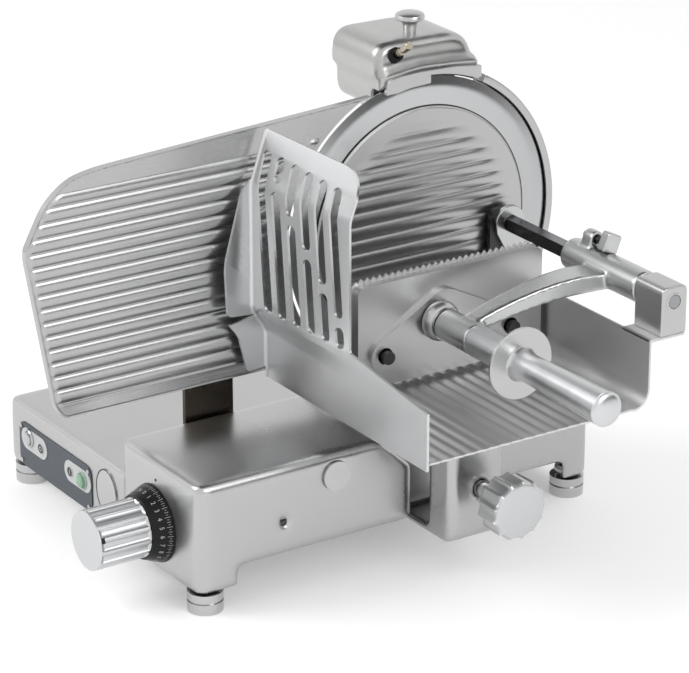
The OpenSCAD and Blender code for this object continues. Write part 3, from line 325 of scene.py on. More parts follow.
knife_steel = turned("ground knife steel", "#BFC0C1", 0.22, 1.0, at(0, 0, KNIFE_Z), 0, 0.02)
knob_aluminium = turned("turned aluminium knob", "#D0D1D2", 0.35, 0.5, at(KNOB_X, 0, KNOB_Z), 1)
handle_aluminium = turned("turned aluminium handle", "#D3D4D5", 0.30, 0.5, at(0, HANDLE_Y, HANDLE_Z), 0)
lobe_aluminium = turned("turned aluminium lock knob", "#D0D1D2", 0.32, 0.5, at(0, LOCK_Y, LOCK_Z), 0)
knife_face = knife_steel.node_tree.nodes["Principled BSDF"]
grain = add(knife_steel.node_tree, "Tangent", direction_type="RADIAL", axis="X")
knife_steel.node_tree.links.new(grain.outputs[0], knife_face.inputs["Tangent"])
knife_face.inputs["Anisotropic"].default_value = 0.75
print("turned metals ready")

# %% [markdown]
# ## Plastics and rubber
#
# The few parts that aren't metal stay quiet: a black dial, a grey printed panel, a
# green lens that lets light in, and soft feet. Moulded plastic has a fine eroded
# grain of about 0.3 mm, and an IOR near 1.5.

# %% Moulded plastics
PLASTIC_IOR = 1.5


def moulded(name, code, rough, grain_mm=0.5, bump=0.2, clear=0.0):
    made, tree, where = surface(name)
    grain = add(tree, "TexNoise", [("Vector", where)], Scale=1000 / grain_mm, Detail=1.0)
    pattern = grain.outputs["Fac"]
    spread = ramp(tree, pattern, rough - 0.06, rough + 0.06, 0.0, 1.0)
    face = finish(tree, spread, pattern, code, 0.9, pattern, bump, metal=0.0)
    face.inputs["IOR"].default_value = PLASTIC_IOR
    face.inputs["Transmission Weight"].default_value = clear
    return made


black_plastic = moulded("black acetal", "#0A0A0B", 0.28)
dial_black = moulded("black anodised aluminium", "#060607", 0.34, 0.5, 0.05)
dial_black.node_tree.nodes["Principled BSDF"].inputs["Specular IOR Level"].default_value = 0.28
panel_foil = moulded("printed polyester foil, slate", "#474F57", 0.42, 0.4, 0.08)
pale_foil = moulded("printed polyester foil, pale grey", "#D4D6D6", 0.4, 0.4, 0.08)
white_print = moulded("white printing ink", "#C4C5C4", 0.5, 0.3, 0.05)
dark_print = moulded("dark printing ink", "#3C4044", 0.5, 0.3, 0.05)
green_lens = moulded("tinted acrylic, green", "#B6E6C2", 0.12, 0.8, 0.04, 0.35)
belt_rubber = moulded("black belt rubber", "#1A1A1B", 0.7, 0.8, 0.3)
board_green = moulded("circuit board lacquer", "#1F5A36", 0.3)
stone_red = moulded("ceramic grinding stone", "#B98572", 0.85, 0.6, 0.8)
print("plastics ready")

# %% [markdown]
# ## Dress the solids
#
# Most solids already have the right shape, so they stay and only get their
# finish. What a drawing leaves out is the broken edge: no real metal edge is
# perfectly sharp, and the thin bright line along each edge is what makes a
# picture of metal look real. A weld joins the loaded faces, a small bevel breaks
# the edges, and a short node group shades curved faces smoothly.

# %% Smooth shading by angle, as a node group
def smoothing(limit):
    made = bpy.data.node_groups.new("smooth below " + str(limit) + " degrees", "GeometryNodeTree")
    made.interface.new_socket("Geometry", in_out="INPUT", socket_type="NodeSocketGeometry")
    made.interface.new_socket("Geometry", in_out="OUTPUT", socket_type="NodeSocketGeometry")
    start, end = made.nodes.new("NodeGroupInput"), made.nodes.new("NodeGroupOutput")
    whole = made.nodes.new("GeometryNodeSetShadeSmooth")
    sharp = made.nodes.new("GeometryNodeSetShadeSmooth")
    sharp.domain = "EDGE"
    sharp.inputs["Shade Smooth"].default_value = False
    angle = made.nodes.new("GeometryNodeInputMeshEdgeAngle")
    above = made.nodes.new("FunctionNodeCompare")
    above.inputs[1].default_value = radians(limit)
    made.links.new(start.outputs[0], whole.inputs[0])
    made.links.new(whole.outputs[0], sharp.inputs[0])
    made.links.new(angle.outputs["Unsigned Angle"], above.inputs[0])
    made.links.new(above.outputs[0], sharp.inputs["Selection"])
    made.links.new(sharp.outputs[0], end.inputs[0])
    return made


smooth_30 = smoothing(30)
print("smoothing group has", len(smooth_30.nodes), "nodes")

# %% Break the edges of a piece, and give it its finish
WELD_M, BEVEL_ABOVE = 0.00001, radians(35)


def soften(piece, edge_mm, steps=2):
    weld = piece.modifiers.new("weld", "WELD")
    weld.merge_threshold = WELD_M
    if edge_mm:
        bevel = piece.modifiers.new("broken edges", "BEVEL")
        bevel.width, bevel.segments = edge_mm / 1000, steps
        bevel.limit_method, bevel.angle_limit = "ANGLE", BEVEL_ABOVE
        bevel.use_clamp_overlap = True
    group = piece.modifiers.new("smooth faces", "NODES")
    group.node_group = smooth_30
    level = piece.modifiers.new("even shading", "WEIGHTED_NORMAL")
    level.keep_sharp = True


def dress(material, edge_mm, names):
    for name in names:
        piece = nodes[name]
        piece.data.materials.clear()
        piece.data.materials.append(material)
        soften(piece, edge_mm)
    return len(names)


rod_steel = brushed("steel bar, chromed and dark", "#77777A", 0.2, 0.5, 0)
FINISHES = (
    (casting, 1.2, "base_casting blade_head head_cover guard_ring sharpener_flange"),
    (casting, 3.0, "carriage_arm"),
    (casting, 2.0, "sharpener_housing"),
    (arm_casting, 1.5, "press_arm rod_bracket"),
    (motor_casting, 0.6, "motor motor_cradle"),
    (plate_aluminium, 0.8, "gauge_plate"),
    (press_aluminium, 0.8, "press_plate blade_cover end_block"),
    (sheet_steel_x, 0.4, "carriage_table hand_guard bottom_cover"),
    (sheet_steel_y, 0.4, "press_teeth"),
    (post_steel, 0.6, "gauge_arm"),
    (knife_steel, 0.1, "blade"),
    (bright_steel, 0.5, "spindle driven_pulley motor_shaft motor_pulley cover_tie_rod gauge_bar"),
    (bright_steel, 0.5, "guide_rods spindle_bearings panel_screws stop_button deburring_pin"),
    (bright_steel, 0.5, "oval_plate blank_cap"),
    (rod_steel, 0.4, "press_rod"),
    (dark_steel, 0.5, "blade_screws press_studs thickness_cam cam_follower"),
    (knob_aluminium, 0.8, "thickness_knob"),
    (lobe_aluminium, 1.5, "lock_knob"),
    (handle_aluminium, 0.8, "handle_tube handle_disc handle_grip"),
    (arm_casting, 0.8, "sharpener_button lock_lever"),
    (dial_black, 0.5, "thickness_dial"),
    (black_plastic, 0.5, "button_housings cable_gland signal_discs"),
    (panel_foil, 0, "control_panel"),
    (pale_foil, 0, "button_plates"),
    (green_lens, 0.8, "start_button"),
    (bright_steel, 1.5, "feet"),
    (belt_rubber, 0.4, "drive_belt"),
    (board_green, 0, "switch_board"),
    (bronze, 0.3, "carriage_bushes"),
    (stone_red, 0.3, "grinding_stone truing_stone"),
)
dressed = sum(dress(material, edge_mm, names.split()) for material, edge_mm, names in FINISHES)
print("dressed", dressed, "of", len(nodes), "solids")

# %% [markdown]
# ## Helpers for sheet metal
#
# A bent sheet starts flat. Its outline and its slots are drawn as closed curves,
# which Blender fills and turns into a mesh. Straight cuts across the mesh then mark
# each bend, and every point is carried round the bend as the press brake would
# carry it. Thickness comes last, from a modifier. This is slower than pushing a
# box about, and it keeps the slots true through the bend.

# %% Draw flat outlines
def arc(middle, radius, start, end, steps):
    """Points on an arc, with its angles in degrees."""
    turns = [radians(start + (end - start) * i / steps) for i in range(steps + 1)]
    return [(middle[0] + radius * cos(t), middle[1] + radius * sin(t)) for t in turns]


def rounded(corners, radius, steps=6):
    """The outline through corners, each cut back and rounded; radius is one number or one per corner."""
    points = []
    for i, corner in enumerate(corners):
        here = Vector(corner)
        reach = radius[i] if isinstance(radius, (list, tuple)) else radius
        before, after = Vector(corners[i - 1]), Vector(corners[(i + 1) % len(corners)])
        if not reach:
            points.append(tuple(here))
            continue
        start = here + (before - here).normalized() * reach
        end = here + (after - here).normalized() * reach
        for k in range(steps + 1):
            t = k / steps
            points.append(tuple(start * (1 - t) ** 2 + here * 2 * t * (1 - t) + end * t ** 2))
    return points


def slot(low, high, width):
    """A round-ended slot from low to high, each a point on its middle line."""
    lean = degrees(atan2(high[1] - low[1], high[0] - low[0]))
    return arc(high, width / 2, lean - 90, lean + 90, 8) + arc(low, width / 2, lean + 90, lean + 270, 8)


def filled(outline, holes=()):
    """A flat mesh of the outline with its holes, in millimetres."""
    curve = bpy.data.curves.new("flat", "CURVE")
    curve.dimensions, curve.fill_mode = "2D", "BOTH"
    for points in [outline] + list(holes):
        line = curve.splines.new("POLY")
        line.points.add(len(points) - 1)
        line.use_cyclic_u = True
        for point, place in zip(line.points, points):
            point.co = (place[0], place[1], 0, 1)
    flat = bpy.data.objects.new("flat", curve)
    mesh = bpy.data.meshes.new_from_object(flat)
    bpy.data.objects.remove(flat)
    made = bmesh.new()
    made.from_mesh(mesh)
    bmesh.ops.remove_doubles(made, verts=made.verts, dist=0.001)
    return made


print("helpers for flat outlines ready")

# %% Turn a bmesh into a finished piece
def piece_of(name, made, material, body, replaces=()):
    if not any(edge.is_boundary for edge in made.edges):
        bmesh.ops.recalc_face_normals(made, faces=made.faces)
    mesh = bpy.data.meshes.new(name)
    made.to_mesh(mesh)
    made.free()
    piece = bpy.data.objects.new(name, mesh)
    scene.collection.objects.link(piece)
    mesh.materials.append(material)
    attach(piece, body)
    for node in replaces:
        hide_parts(node)
    return piece


def thicken(piece, thickness_mm):
    layer = piece.modifiers.new("thickness", "SOLIDIFY")
    layer.thickness, layer.offset, layer.use_even_offset = thickness_mm / 1000, -1.0, False


def prism(outline, place_of, depth):
    """Extrudes a flat outline: place_of(u, v, w) gives the point, w runs from depth[0] to depth[1]."""
    made = bmesh.new()
    rings = [[made.verts.new(place_of(u, v, w)) for u, v in outline] for w in depth]
    made.faces.new(rings[0])
    made.faces.new(rings[1])
    for i in range(len(outline)):
        made.faces.new((rings[0][i - 1], rings[0][i], rings[1][i], rings[1][i - 1]))
    return made


def lathe(profile, middle, axis, steps=64, groove=None):
    """Turns (along, radius) pairs about an axis: 0 is +X, 1 is -Y, 2 is +Z.

    A groove function of the angle, times a pair's third value, is cut from the radius.
    """
    made = bmesh.new()
    rings = []
    for along, radius, *depth in profile:
        ring = []
        for i in range(steps if radius > 0 else 1):
            t = 2 * pi * i / steps
            reach = radius - (groove(t) * depth[0] if groove and depth else 0)
            a, b = reach * cos(t), reach * sin(t)
            x, y, z = middle
            places = (x + along, y + a, z + b), (x + a, y - along, z + b), (x + a, y + b, z + along)
            ring.append(made.verts.new(at(*places[axis])))
        rings.append(ring)
    for one, two in zip(rings, rings[1:]):
        for i in range(steps):
            corners = [one[i % len(one)], one[(i + 1) % len(one)],
                       two[(i + 1) % len(two)], two[i % len(two)]]
            corners = list(dict.fromkeys(corners))
            if len(corners) > 2:
                made.faces.new(corners)
    return made


def finished(name, made, material, body, replaces=(), edge_mm=0, steps=2):
    soften(piece_of(name, made, material, body, replaces), edge_mm, steps)


def lathed(name, profile, middle, axis, steps, material, body, replaces=()):
    finished(name, lathe(profile, middle, axis, steps), material, body, replaces)


def sideways(u, v, w):
    """For a prism whose outline is drawn along Y and up Z, and pulled along X."""
    return at(w, u, v)


print("helpers for pieces ready")

# %% [markdown]
# ## The hand guard
#
# The guard stands between the operator's hand and the knife. It is one sheet of
# stainless steel, 3 mm thick and finely blasted, with six rows of slots that show
# how much food is left. Its top leans back in a soft bend, and a flap at its left
# edge is folded towards the operator, close beside the knife's edge. Each row of
# slots has one bridge, and the bridges step down from left to right.

# %% The guard's flat pattern
GUARD_W, GUARD_LOW, GUARD_CREASE, GUARD_TOP = 167.0, 272.0, 419.0, 478.0
GUARD_SHEET, CREASE_R, LEAN = 3.0, 34.0, radians(20)
FLAP_R, FLAP_TURN, FLAP_FROM, GUARD_TURN = 4.0, radians(96.5), 4, radians(6.5)
TRAY_LOW, TRAY_END = 188.0, 314.0
TOP_LEN = (GUARD_TOP - GUARD_CREASE) / cos(LEAN)
SLOT_N, SLOT_W, SLOT_PITCH, SLOT_LEAN = 6, 14.6, 24.5, 0.085
slots = []
for i in range(SLOT_N):
    def mid(v):
        return (16 + SLOT_PITCH * i + SLOT_LEAN * (430 - v), v)
    bridge = 467 - 31 * i
    ends = [(284 - i, bridge - 23), (bridge + 1, 453 - 2 * i)] if i else [(284, 453)]
    slots += [slot(mid(low), mid(high), SLOT_W) for low, high in ends]
pattern = rounded([(0, 266), (-35, 272), (-38, 334), (-11, 412), (0, 424),
                   (0, GUARD_CREASE + TOP_LEN), (GUARD_W, GUARD_CREASE + TOP_LEN - 8),
                   (GUARD_W, GUARD_LOW), (295, 255), (TRAY_END, 253), (TRAY_END, TRAY_LOW),
                   (0, TRAY_LOW), (0, 201), (-25, 200), (-41, 262), (0, 264)],
                  [0, 5, 12, 5, 4, 4, 30, 3, 8, 0, 0, 0, 0, 5, 5, 0], 8)
guard = filled(pattern, slots)
print("guard pattern:", len(slots), "slots,", len(guard.verts), "points")


# %% Fold the pattern
def fold(distance, radius, angle):
    """Where a point past a bend goes: (forward, aside) for a distance beyond the bend's start."""
    length = radius * angle
    if distance <= 0:
        return distance, 0.0
    if distance < length:
        return radius * sin(distance / radius), radius * (1 - cos(distance / radius))
    rest = distance - length
    forward = radius * sin(angle) + rest * cos(angle)
    return forward, radius * (1 - cos(angle)) + rest * sin(angle)


def smooth_step(value, low, high):
    t = min(max((value - low) / (high - low), 0.0), 1.0)
    return t * t * (3 - 2 * t)


def cut_across(made, place, normal):
    whole = made.verts[:] + made.edges[:] + made.faces[:]
    bmesh.ops.bisect_plane(made, geom=whole, plane_co=place, plane_no=normal)


CREASE_FROM = GUARD_CREASE - 6
for k in range(9):
    cut_across(guard, (0, CREASE_FROM + k * CREASE_R * LEAN / 8, 0), (0, 1, 0))
for k in range(8):
    cut_across(guard, (FLAP_FROM - k * FLAP_R * FLAP_TURN / 7, 0, 0), (1, 0, 0))
for v in range(242, 280, 4):
    cut_across(guard, (0, v, 0), (0, 1, 0))
for u in (42, 84, 126, GUARD_W):
    cut_across(guard, (u, 0, 0), (1, 0, 0))
for point in guard.verts:
    u, v = point.co.x, point.co.y
    rise, back = fold(v - CREASE_FROM, CREASE_R, LEAN)
    side, front = fold(FLAP_FROM - u, FLAP_R, FLAP_TURN)
    turn = GUARD_TURN * smooth_step(v, 240, 280) if u < GUARD_W else 0.0
    along, away = FLAP_FROM - side - GUARD_W, back - front
    point.co = at(175 + along * cos(turn) - away * sin(turn),
                  -212 + along * sin(turn) + away * cos(turn), CREASE_FROM + rise)
print("guard folded")

# %% [markdown]
# The guard's finish is blasted and not brushed, so it stays even and pale, and its
# highlights spread into soft gradients. The tray's front wall is part of the same
# sheet: the turn of the guard dies away over a hand's breadth above it, and the
# outer corner is cut low to let the hand pass.

# %% Give the sheet its thickness
blasted_steel = cast("stainless steel sheet, finely blasted", "#D9DADB", 0.38, 0.35, 0.08)
bmesh.ops.recalc_face_normals(guard, faces=guard.faces)
if sum(face.normal.y * face.calc_area() for face in guard.faces) > 0:
    bmesh.ops.reverse_faces(guard, faces=guard.faces)
guard_sheet = piece_of("guard_sheet", guard, blasted_steel, "carriage", ["hand_guard"])
thicken(guard_sheet, GUARD_SHEET)
soften(guard_sheet, 0.7)
print("guard has", len(guard_sheet.data.polygons), "faces")

# %% [markdown]
# ## Ribbed plates
# The gauge plate and the knife's cover carry shallow ribs 16 mm apart, which let
# moist food slide without sticking. They are cast or pressed, so they roll softly
# from crest to groove and fade out before the edge. A grid of points follows the
# outline row by row, and one function gives each point its height: a broad crest,
# a narrow groove, a fade towards the ends, and a plain raised rim. A thin black
# ring is painted shade: it stands for the shadow in the narrow seam between the
# cover and the knife.

# %% One function for the ribs' rise
RIB_PITCH, RIB_RISE = 16.0, 2.6


def rib_rise(z, crest):
    """0 in a groove and 1 on a crest, for ribs that are level at the height crest."""
    wave = 0.5 + 0.5 * cos(2 * pi * (z - crest) / RIB_PITCH)
    return 0.6 * (1 - (1 - wave) ** 4) + 0.4 * wave


def rib_rows(low, high, crest, more=()):
    """Heights for a grid's rows, close together in the grooves and wide apart on the crests."""
    offsets = [-8, -7.2, -6.4, -5.6, -4.6, -3, 0, 3, 4.6, 5.6, 6.4, 7.2]
    first, last = floor((low - crest) / RIB_PITCH), ceil((high - crest) / RIB_PITCH)
    heights = [crest + RIB_PITCH * k + step for k in range(first, last + 1) for step in offsets]
    heights = sorted([low, high] + [z for z in heights + list(more) if low + 0.2 < z < high - 0.2])
    return [z for k, z in enumerate(heights) if k == 0 or z - heights[k - 1] > 0.1]


def skin(rows, span, rise, front_x, back_x, columns):
    """A plate with a shaped front and a flat back; span(z) gives its two ends along Y."""
    made = bmesh.new()
    grid = []
    for z in rows:
        low, high = span(z)
        steps = [0.5 - 0.5 * cos(pi * k / columns) for k in range(columns + 1)]
        ys = [low + (high - low) * s for s in steps]
        grid.append([made.verts.new(at(front_x + rise(y, z), y, z)) for y in ys])
    for one, two in zip(grid, grid[1:]):
        for k in range(columns):
            made.faces.new((one[k], one[k + 1], two[k + 1], two[k]))
    border = [e for e in made.edges if e.is_boundary]
    moved = bmesh.ops.extrude_edge_only(made, edges=border)
    new = [item for item in moved["geom"] if isinstance(item, bmesh.types.BMVert)]
    for point in new:
        point.co.x = at(back_x, 0, 0).x
    bmesh.ops.holes_fill(made, edges=[e for e in made.edges if e.is_boundary], sides=0)
    return made


print("rise at crest, halfway and groove:", rib_rise(0, 0), round(rib_rise(4, 0), 2), rib_rise(8, 0))

# %% The gauge plate's outline, and the distance of a point from its rim
PLATE_CORNERS = [(-474, 207), (-462, 191), (-60, 191), (-60, 487), (-421, 467), (-450, 460),
                 (-478, 438), (-497, 403), (-503, 391), (-503, 379)]
PLATE_CREST = 441
plate_line = rounded(PLATE_CORNERS, [7, 7, 0, 0, 20, 14, 14, 9, 5, 5], 4)
PLATE_CLEAR_R = 178.5


def plate_span(z):
    crossing = []
    for (y0, z0), (y1, z1) in zip(plate_line, plate_line[1:] + plate_line[:1]):
        if (z0 - z) * (z1 - z) <= 0 and z0 != z1:
            crossing.append(y0 + (y1 - y0) * (z - z0) / (z1 - z0))
    away = PLATE_CLEAR_R ** 2 - (z - KNIFE_Z) ** 2
    inner = -sqrt(away) if away > 0 else -60.0
    return min(crossing), min(inner, -60.0)


def rim_distance(y, z):
    nearest = 1e9
    for (y0, z0), (y1, z1) in zip(plate_line, plate_line[1:] + plate_line[:1]):
        if min(y0, y1) > -61:
            continue
        length = (y1 - y0) ** 2 + (z1 - z0) ** 2
        t = min(max(((y - y0) * (y1 - y0) + (z - z0) * (z1 - z0)) / length, 0), 1) if length else 0
        nearest = min(nearest, hypot(y - y0 - t * (y1 - y0), z - z0 - t * (z1 - z0)))
    return nearest


def plate_rise(y, z):
    edge = rim_distance(y, z)
    rim = 1 - smooth_step(edge, 1.6, 3.0)
    bump = 1 - smooth_step(hypot((y + 141) / 1.9, z - 447), 1.2, 4.2)
    from_knife = hypot(y, z - KNIFE_Z) - PLATE_CLEAR_R
    window = smooth_step(edge, 3, 8) * smooth_step(from_knife, 22, 48)
    window = window * smooth_step(447 - z, -2, 6) * smooth_step(z - 203, 0, 6)
    ribs = 0.2 + 0.68 * window * rib_rise(z, PLATE_CREST)
    return RIB_RISE * max(rim, ribs, 0.3 * (1 - window), 0.85 * bump)


rows = rib_rows(191.6, 486.6, PLATE_CREST, [456.3 + 2 * k for k in range(15)])
plate = skin(rows, plate_span, plate_rise, -4.0, -9.0, 90)
gauge_skin = piece_of("gauge_skin", plate, plate_aluminium, "gauge", ["gauge_plate"])
soften(gauge_skin, 0)
print("gauge skin", len(gauge_skin.data.polygons), "faces")

# %% The knife's cover
COVER_R, COVER_CREST = 141.0, KNIFE_Z + 8
SEAM_SHADE_STEPS = 144


def cover_rise(y, z):
    from_middle = hypot(y, z - KNIFE_Z)
    window = smooth_step(from_middle, 126, 98)
    return 1.4 * smooth_step(COVER_R - from_middle, 0, 2) + 1.5 * window * rib_rise(z, COVER_CREST)


def cover_span(z):
    half = sqrt(max(COVER_R ** 2 - (z - KNIFE_Z) ** 2, 0.04))
    return -half, half


rim_rows = [KNIFE_Z + side * (COVER_R - step) for side in (-1, 1) for step in (0.3, 0.9, 1.7, 3.1, 5)]
rows = rib_rows(KNIFE_Z - COVER_R + 0.01, KNIFE_Z + COVER_R - 0.01, COVER_CREST, rim_rows)
cover = skin(rows, cover_span, cover_rise, 0.3, -0.5, 90)
cover_skin = piece_of("cover_skin", cover, press_aluminium, "base", ["blade_cover"])
soften(cover_skin, 0)
# The black ring is painted shade: it stands for the shadow in the narrow seam between the cover and the
# knife.
seam_shade = bmesh.new()
ends = []
for x, r in ((0.25, 140.4), (0.25, 142.3), (-0.6, 142.3)):
    turns = [t * pi / (SEAM_SHADE_STEPS / 2) for t in range(SEAM_SHADE_STEPS)]
    ends.append([seam_shade.verts.new(at(x, r * cos(t), KNIFE_Z + r * sin(t))) for t in turns])
for one, two in zip(ends, ends[1:]):
    for k in range(SEAM_SHADE_STEPS):
        seam_shade.faces.new((one[k - 1], one[k], two[k], two[k - 1]))
finished("cover_seam_shade", seam_shade, black_plastic, "base")
print("cover skin", len(cover_skin.data.polygons), "faces")

# %% [markdown]
# ## Castings
#
# A sand or die casting has no sharp edge and no sharp inner corner, because the
# metal has to flow and the part has to leave its mould. A bevel can only round an
# outer edge. Here the solid is first rebuilt on a fine grid of voxels, and a few
# passes of smoothing then round its edges and fill its corners alike, as the
# mould does. Flat faces stay flat. Rounding grows with the voxel and the passes.

# %% Rebuild on voxels and smooth
satin_casting = cast("cast aluminium, tumbled", "#C4C4C4", 0.33, 0.8, 0.1)


def mould(piece, voxel_mm, passes):
    piece.modifiers.clear()
    weld = piece.modifiers.new("weld", "WELD")
    weld.merge_threshold = WELD_M
    grid = piece.modifiers.new("voxels", "REMESH")
    grid.mode, grid.voxel_size, grid.use_smooth_shade = "VOXEL", voxel_mm / 1000, True
    round_off = piece.modifiers.new("mould radii", "SMOOTH")
    round_off.factor, round_off.iterations = 0.5, passes


MOULDS = (("base_casting", 3.2, 20), ("carriage_arm", 2.4, 16),
          ("press_arm", 1.3, 26), ("blade_head", 2.6, 8))
for name, voxel_mm, passes in MOULDS:
    mould(nodes[name], voxel_mm, passes)
    count = len(nodes[name].evaluated_get(bpy.context.evaluated_depsgraph_get()).data.polygons)
    print(name, "has", count, "faces")

# %% [markdown]
# ## The sharpener
#
# The sharpener sits over the top of the knife. Its housing is one casting: a box
# with a large radius over its back end and a ledge along its foot. Its parts are
# pulled from their side outlines, laid into each other, and moulded together so
# that they melt into one. A lip hangs in front of it over the knife's edge, and a
# dark strip stands for the shadow in the narrow gap behind the lip.

# %% Housing, ledge and lip
def along_x(name, outline, x0, x1, material, body, edge_mm, replaces=(), steps=4):
    finished(name, prism(outline, sideways, (x0, x1)), material, body, replaces, edge_mm, steps)


box_line = rounded([(71, 503), (70, 542), (-62, 545), (-62, 503)], [3, 36, 26, 4], 8)
lobe_line = rounded([(60, 500), (60, 520), (-58, 520), (-58, 462), (-28, 462)], [3, 3, 3, 24, 10], 8)
ledge_line = arc((0, KNIFE_Z), 186.5, 65, 108, 14)
ledge_line += [(-58, 508), (-30, 511), (0, 512), (35, 511), (76, 507)]
lip_line = [(77, 487.5), (77, 501), (41, 505.6), (-5, 507), (-30, 506), (-45, 503.8), (-49, 501.6),
            (-51, 498), (-51.6, 486.6), (-36, 487), (-20, 490), (8, 491.5), (8, 501.3)]
lip_line += arc((0, KNIFE_Z), 179, 87, 66.5, 8)
inner_line = rounded([(66, 503), (65, 537.5), (-57, 540), (-57, 503)], [3, 32, 22, 4], 8)
middle_line = rounded([(69.5, 503), (68.5, 540.7), (-60.5, 543.6), (-60.5, 503)], [3, 35, 25, 4], 8)
web_line = [(-58, 489.6), (-58, 506), (-25, 509), (-25, 498), (-40, 494.8), (-50, 491.7)]
shelf_line = [(76, 503), (76, 507.5), (41, 511), (-5, 512.5), (-30, 511.5), (-50, 509), (-53, 503),
              (0, 508)]
flare_line = [(73, 508), (72, 514), (41, 518), (-5, 519.5), (-30, 518.5), (-52, 516), (-55, 506),
              (0, 508)]
whole = prism(box_line, sideways, (-92, -7))
parts = ((middle_line, -10, -3.5), (inner_line, -6, 0), (lobe_line, -88, -16), (ledge_line, -20, 1),
         (web_line, -20, 2), (shelf_line, -4, 4.6), (flare_line, -4, 2.2))
for outline, x0, x1 in parts:
    part = prism(outline, sideways, (x0, x1))
    holder = bpy.data.meshes.new("part")
    part.to_mesh(holder)
    whole.from_mesh(holder)
hood_casting = cast("cast aluminium, polished by hand", "#B9B9B8", 0.28, 0.8, 0.08)
mould(piece_of("sharpener_cast", whole, hood_casting, "base", ["sharpener_housing"]), 1.4, 64)
along_x("sharpener_lip", lip_line, 0.9, 6.8, satin_casting, "base", 0.9, ["sharpener_flange"], 3)
gap_line = arc((0, KNIFE_Z), 183, 89, 66.8, 10) + arc((0, KNIFE_Z), 176.8, 66.8, 89, 10)
along_x("gap_shadow", gap_line, 0.1, 0.8, dark_steel, "base", 0)
print("sharpener housing ready")

# %% [markdown]
# The push button on top is turned: a flat crown on a stout stem that narrows
# towards the casting. The deburring pin comes out of a round mouth in the hood,
# with a narrow neck behind its slotted head. The mouth is lined in flat black,
# which is painted shade for the hole's dark inside.

# %% Button, mouth and pin
# The mouth's flat black is painted shade: it stands for the shade inside the hole.
mouth_shade = flat_material("painted shade inside the mouth", "#0C0C0D", 0.9)
BUTTON_Z = 545
button_line = [(530, 7.3), (549, 7.3), (553, 7.9), (555.6, 8.8), (557.4, 10.6), (558.6, 13.4),
               (559.6, 15.6), (560.8, 16.6), (563, 16.8), (565.4, 15.8), (567, 12.6), (567.8, 6), (568, 0)]
lathed("sharpener_cap", [(z - BUTTON_Z, r) for z, r in button_line], (-25, 0, BUTTON_Z), 2, 48,
       satin_casting, "sharpener_push", ["sharpener_button"])
pin_steel = turned("nickelled steel pin", "#B5AC9C", 0.2, 0.8, at(0, -41, 0), 0)
mouth = lathe([(-9, 0), (-9, 8.2), (3.2, 8.2), (3.2, 5.5), (-8, 5.5), (-8, 0)], (0, 0, 0), 0, 32)
pin = lathe([(-1, 0), (-1, 4.6), (14, 4.75), (15, 3.6), (18, 3.6), (19, 4.75), (32, 4.75), (33, 4.0),
             (33, 0)], (0, 0, 0), 0, 32)
to_pin = Matrix.Translation(at(2, -37, 530.5))
tilt = to_pin @ Matrix.Rotation(radians(-33), 4, "Y") @ Matrix.Translation(-at(0, 0, 0))
for made in (mouth, pin):
    made.transform(tilt)
finished("pin_mouth", mouth, mouth_shade, "base")
finished("pin_head", pin, pin_steel, "deburring", ["deburring_pin"])
print("button and pin ready")

# %% [markdown]
# ## Knobs
#
# Both knobs are turned and then fluted, so a cut runs along the side and fades out
# where the edge is rounded. The same lathe function makes them: each ring of points
# also says how deep the flutes are there.

# %% The thickness knob and the lock knob
def narrow(count, share):
    """A groove that is count times about the axis, each share of the pitch wide."""
    def depth(t):
        off = abs(2 * ((count * t / (2 * pi)) % 1) - 1) / share
        return sqrt(max(0.0, 1 - off * off))
    return depth


knob_line = [(0, 0, 0), (0, 31, 0), (0, 32.8, 0), (0.6, 33.5, 0), (1.2, 33.5, 0.45), (2.2, 33.5, 0.85),
             (3.4, 33.5, 1), (57, 33.5, 1), (58.6, 33.5, 0.85), (60, 33.5, 0.5), (60.8, 33.5, 0.2),
             (61.4, 33.5, 0), (62.4, 33.4, 0), (62.9, 32.9, 0), (63, 32, 0), (63, 0, 0)]
knob = lathe(knob_line, (KNOB_X, -416.3, KNOB_Z), 1, 392, lambda t: 3.1 * narrow(14, 0.72)(t + 0.11))
finished("knob_fluted", knob, knob_aluminium, "thickness_control", ["thickness_knob"], 0.5)
MARK_R, MARK_Y, MARK_TURN = 32.9, -475.3, 0.337
mark_at = at(KNOB_X + MARK_R * cos(MARK_TURN), MARK_Y, KNOB_Z + MARK_R * sin(MARK_TURN))
mark = bmesh.new()
bmesh.ops.create_cube(mark, size=1.0, matrix=Matrix.Translation(mark_at)
                      @ Matrix.Rotation(-MARK_TURN, 4, "Y") @ Matrix.Diagonal((0.0018, 0.0044, 0.0062, 1)))
finished("knob_mark", mark, black_plastic, "thickness_control")
lobe_line = [(0, 0), (0, 24, 0), (0.6, 28, 0.2), (3, 32, 0.8), (7, 34.5, 1), (34, 35, 1), (37, 34, 0.8),
             (39, 31.5, 0.35), (39.8, 28, 0.05), (40, 20, 0), (40.4, 0)]
lobes = lathe(lobe_line, (255, LOCK_Y, LOCK_Z), 0, 312, lambda t: 3.2 * narrow(13, 0.85)(t))
finished("lock_knob_fluted", lobes, lobe_aluminium, "carriage_lock", ["lock_knob"])
neck = lathe([(196, 10, 0), (255.5, 10, 0)], (0, LOCK_Y, LOCK_Z), 0, 48)
bmesh.ops.holes_fill(neck, edges=neck.edges[:])
finished("lock_knob_neck", neck, bright_steel, "carriage_lock")
print("knobs ready")

# %% [markdown]
# ## The dial's printing
#
# The dial is a black cone behind the knob. It carries plain white numbers from 0
# to 24, a twenty-fifth of a turn apart, and a fine line for every quarter of that.
# Each number is a short piece of text turned into a mesh, then wrapped onto the
# cone: its width becomes an angle and its height runs along the slope.

# %% Lines and numbers on the cone
DIAL_R, DIAL_FRONT_R, DIAL_LEN, DIAL_Y = 44.5, 36.0, 22.0, -394.3
ZERO_TURN, NUMBER_TURN, LINE_TURN = 88, 14.4, 3.6


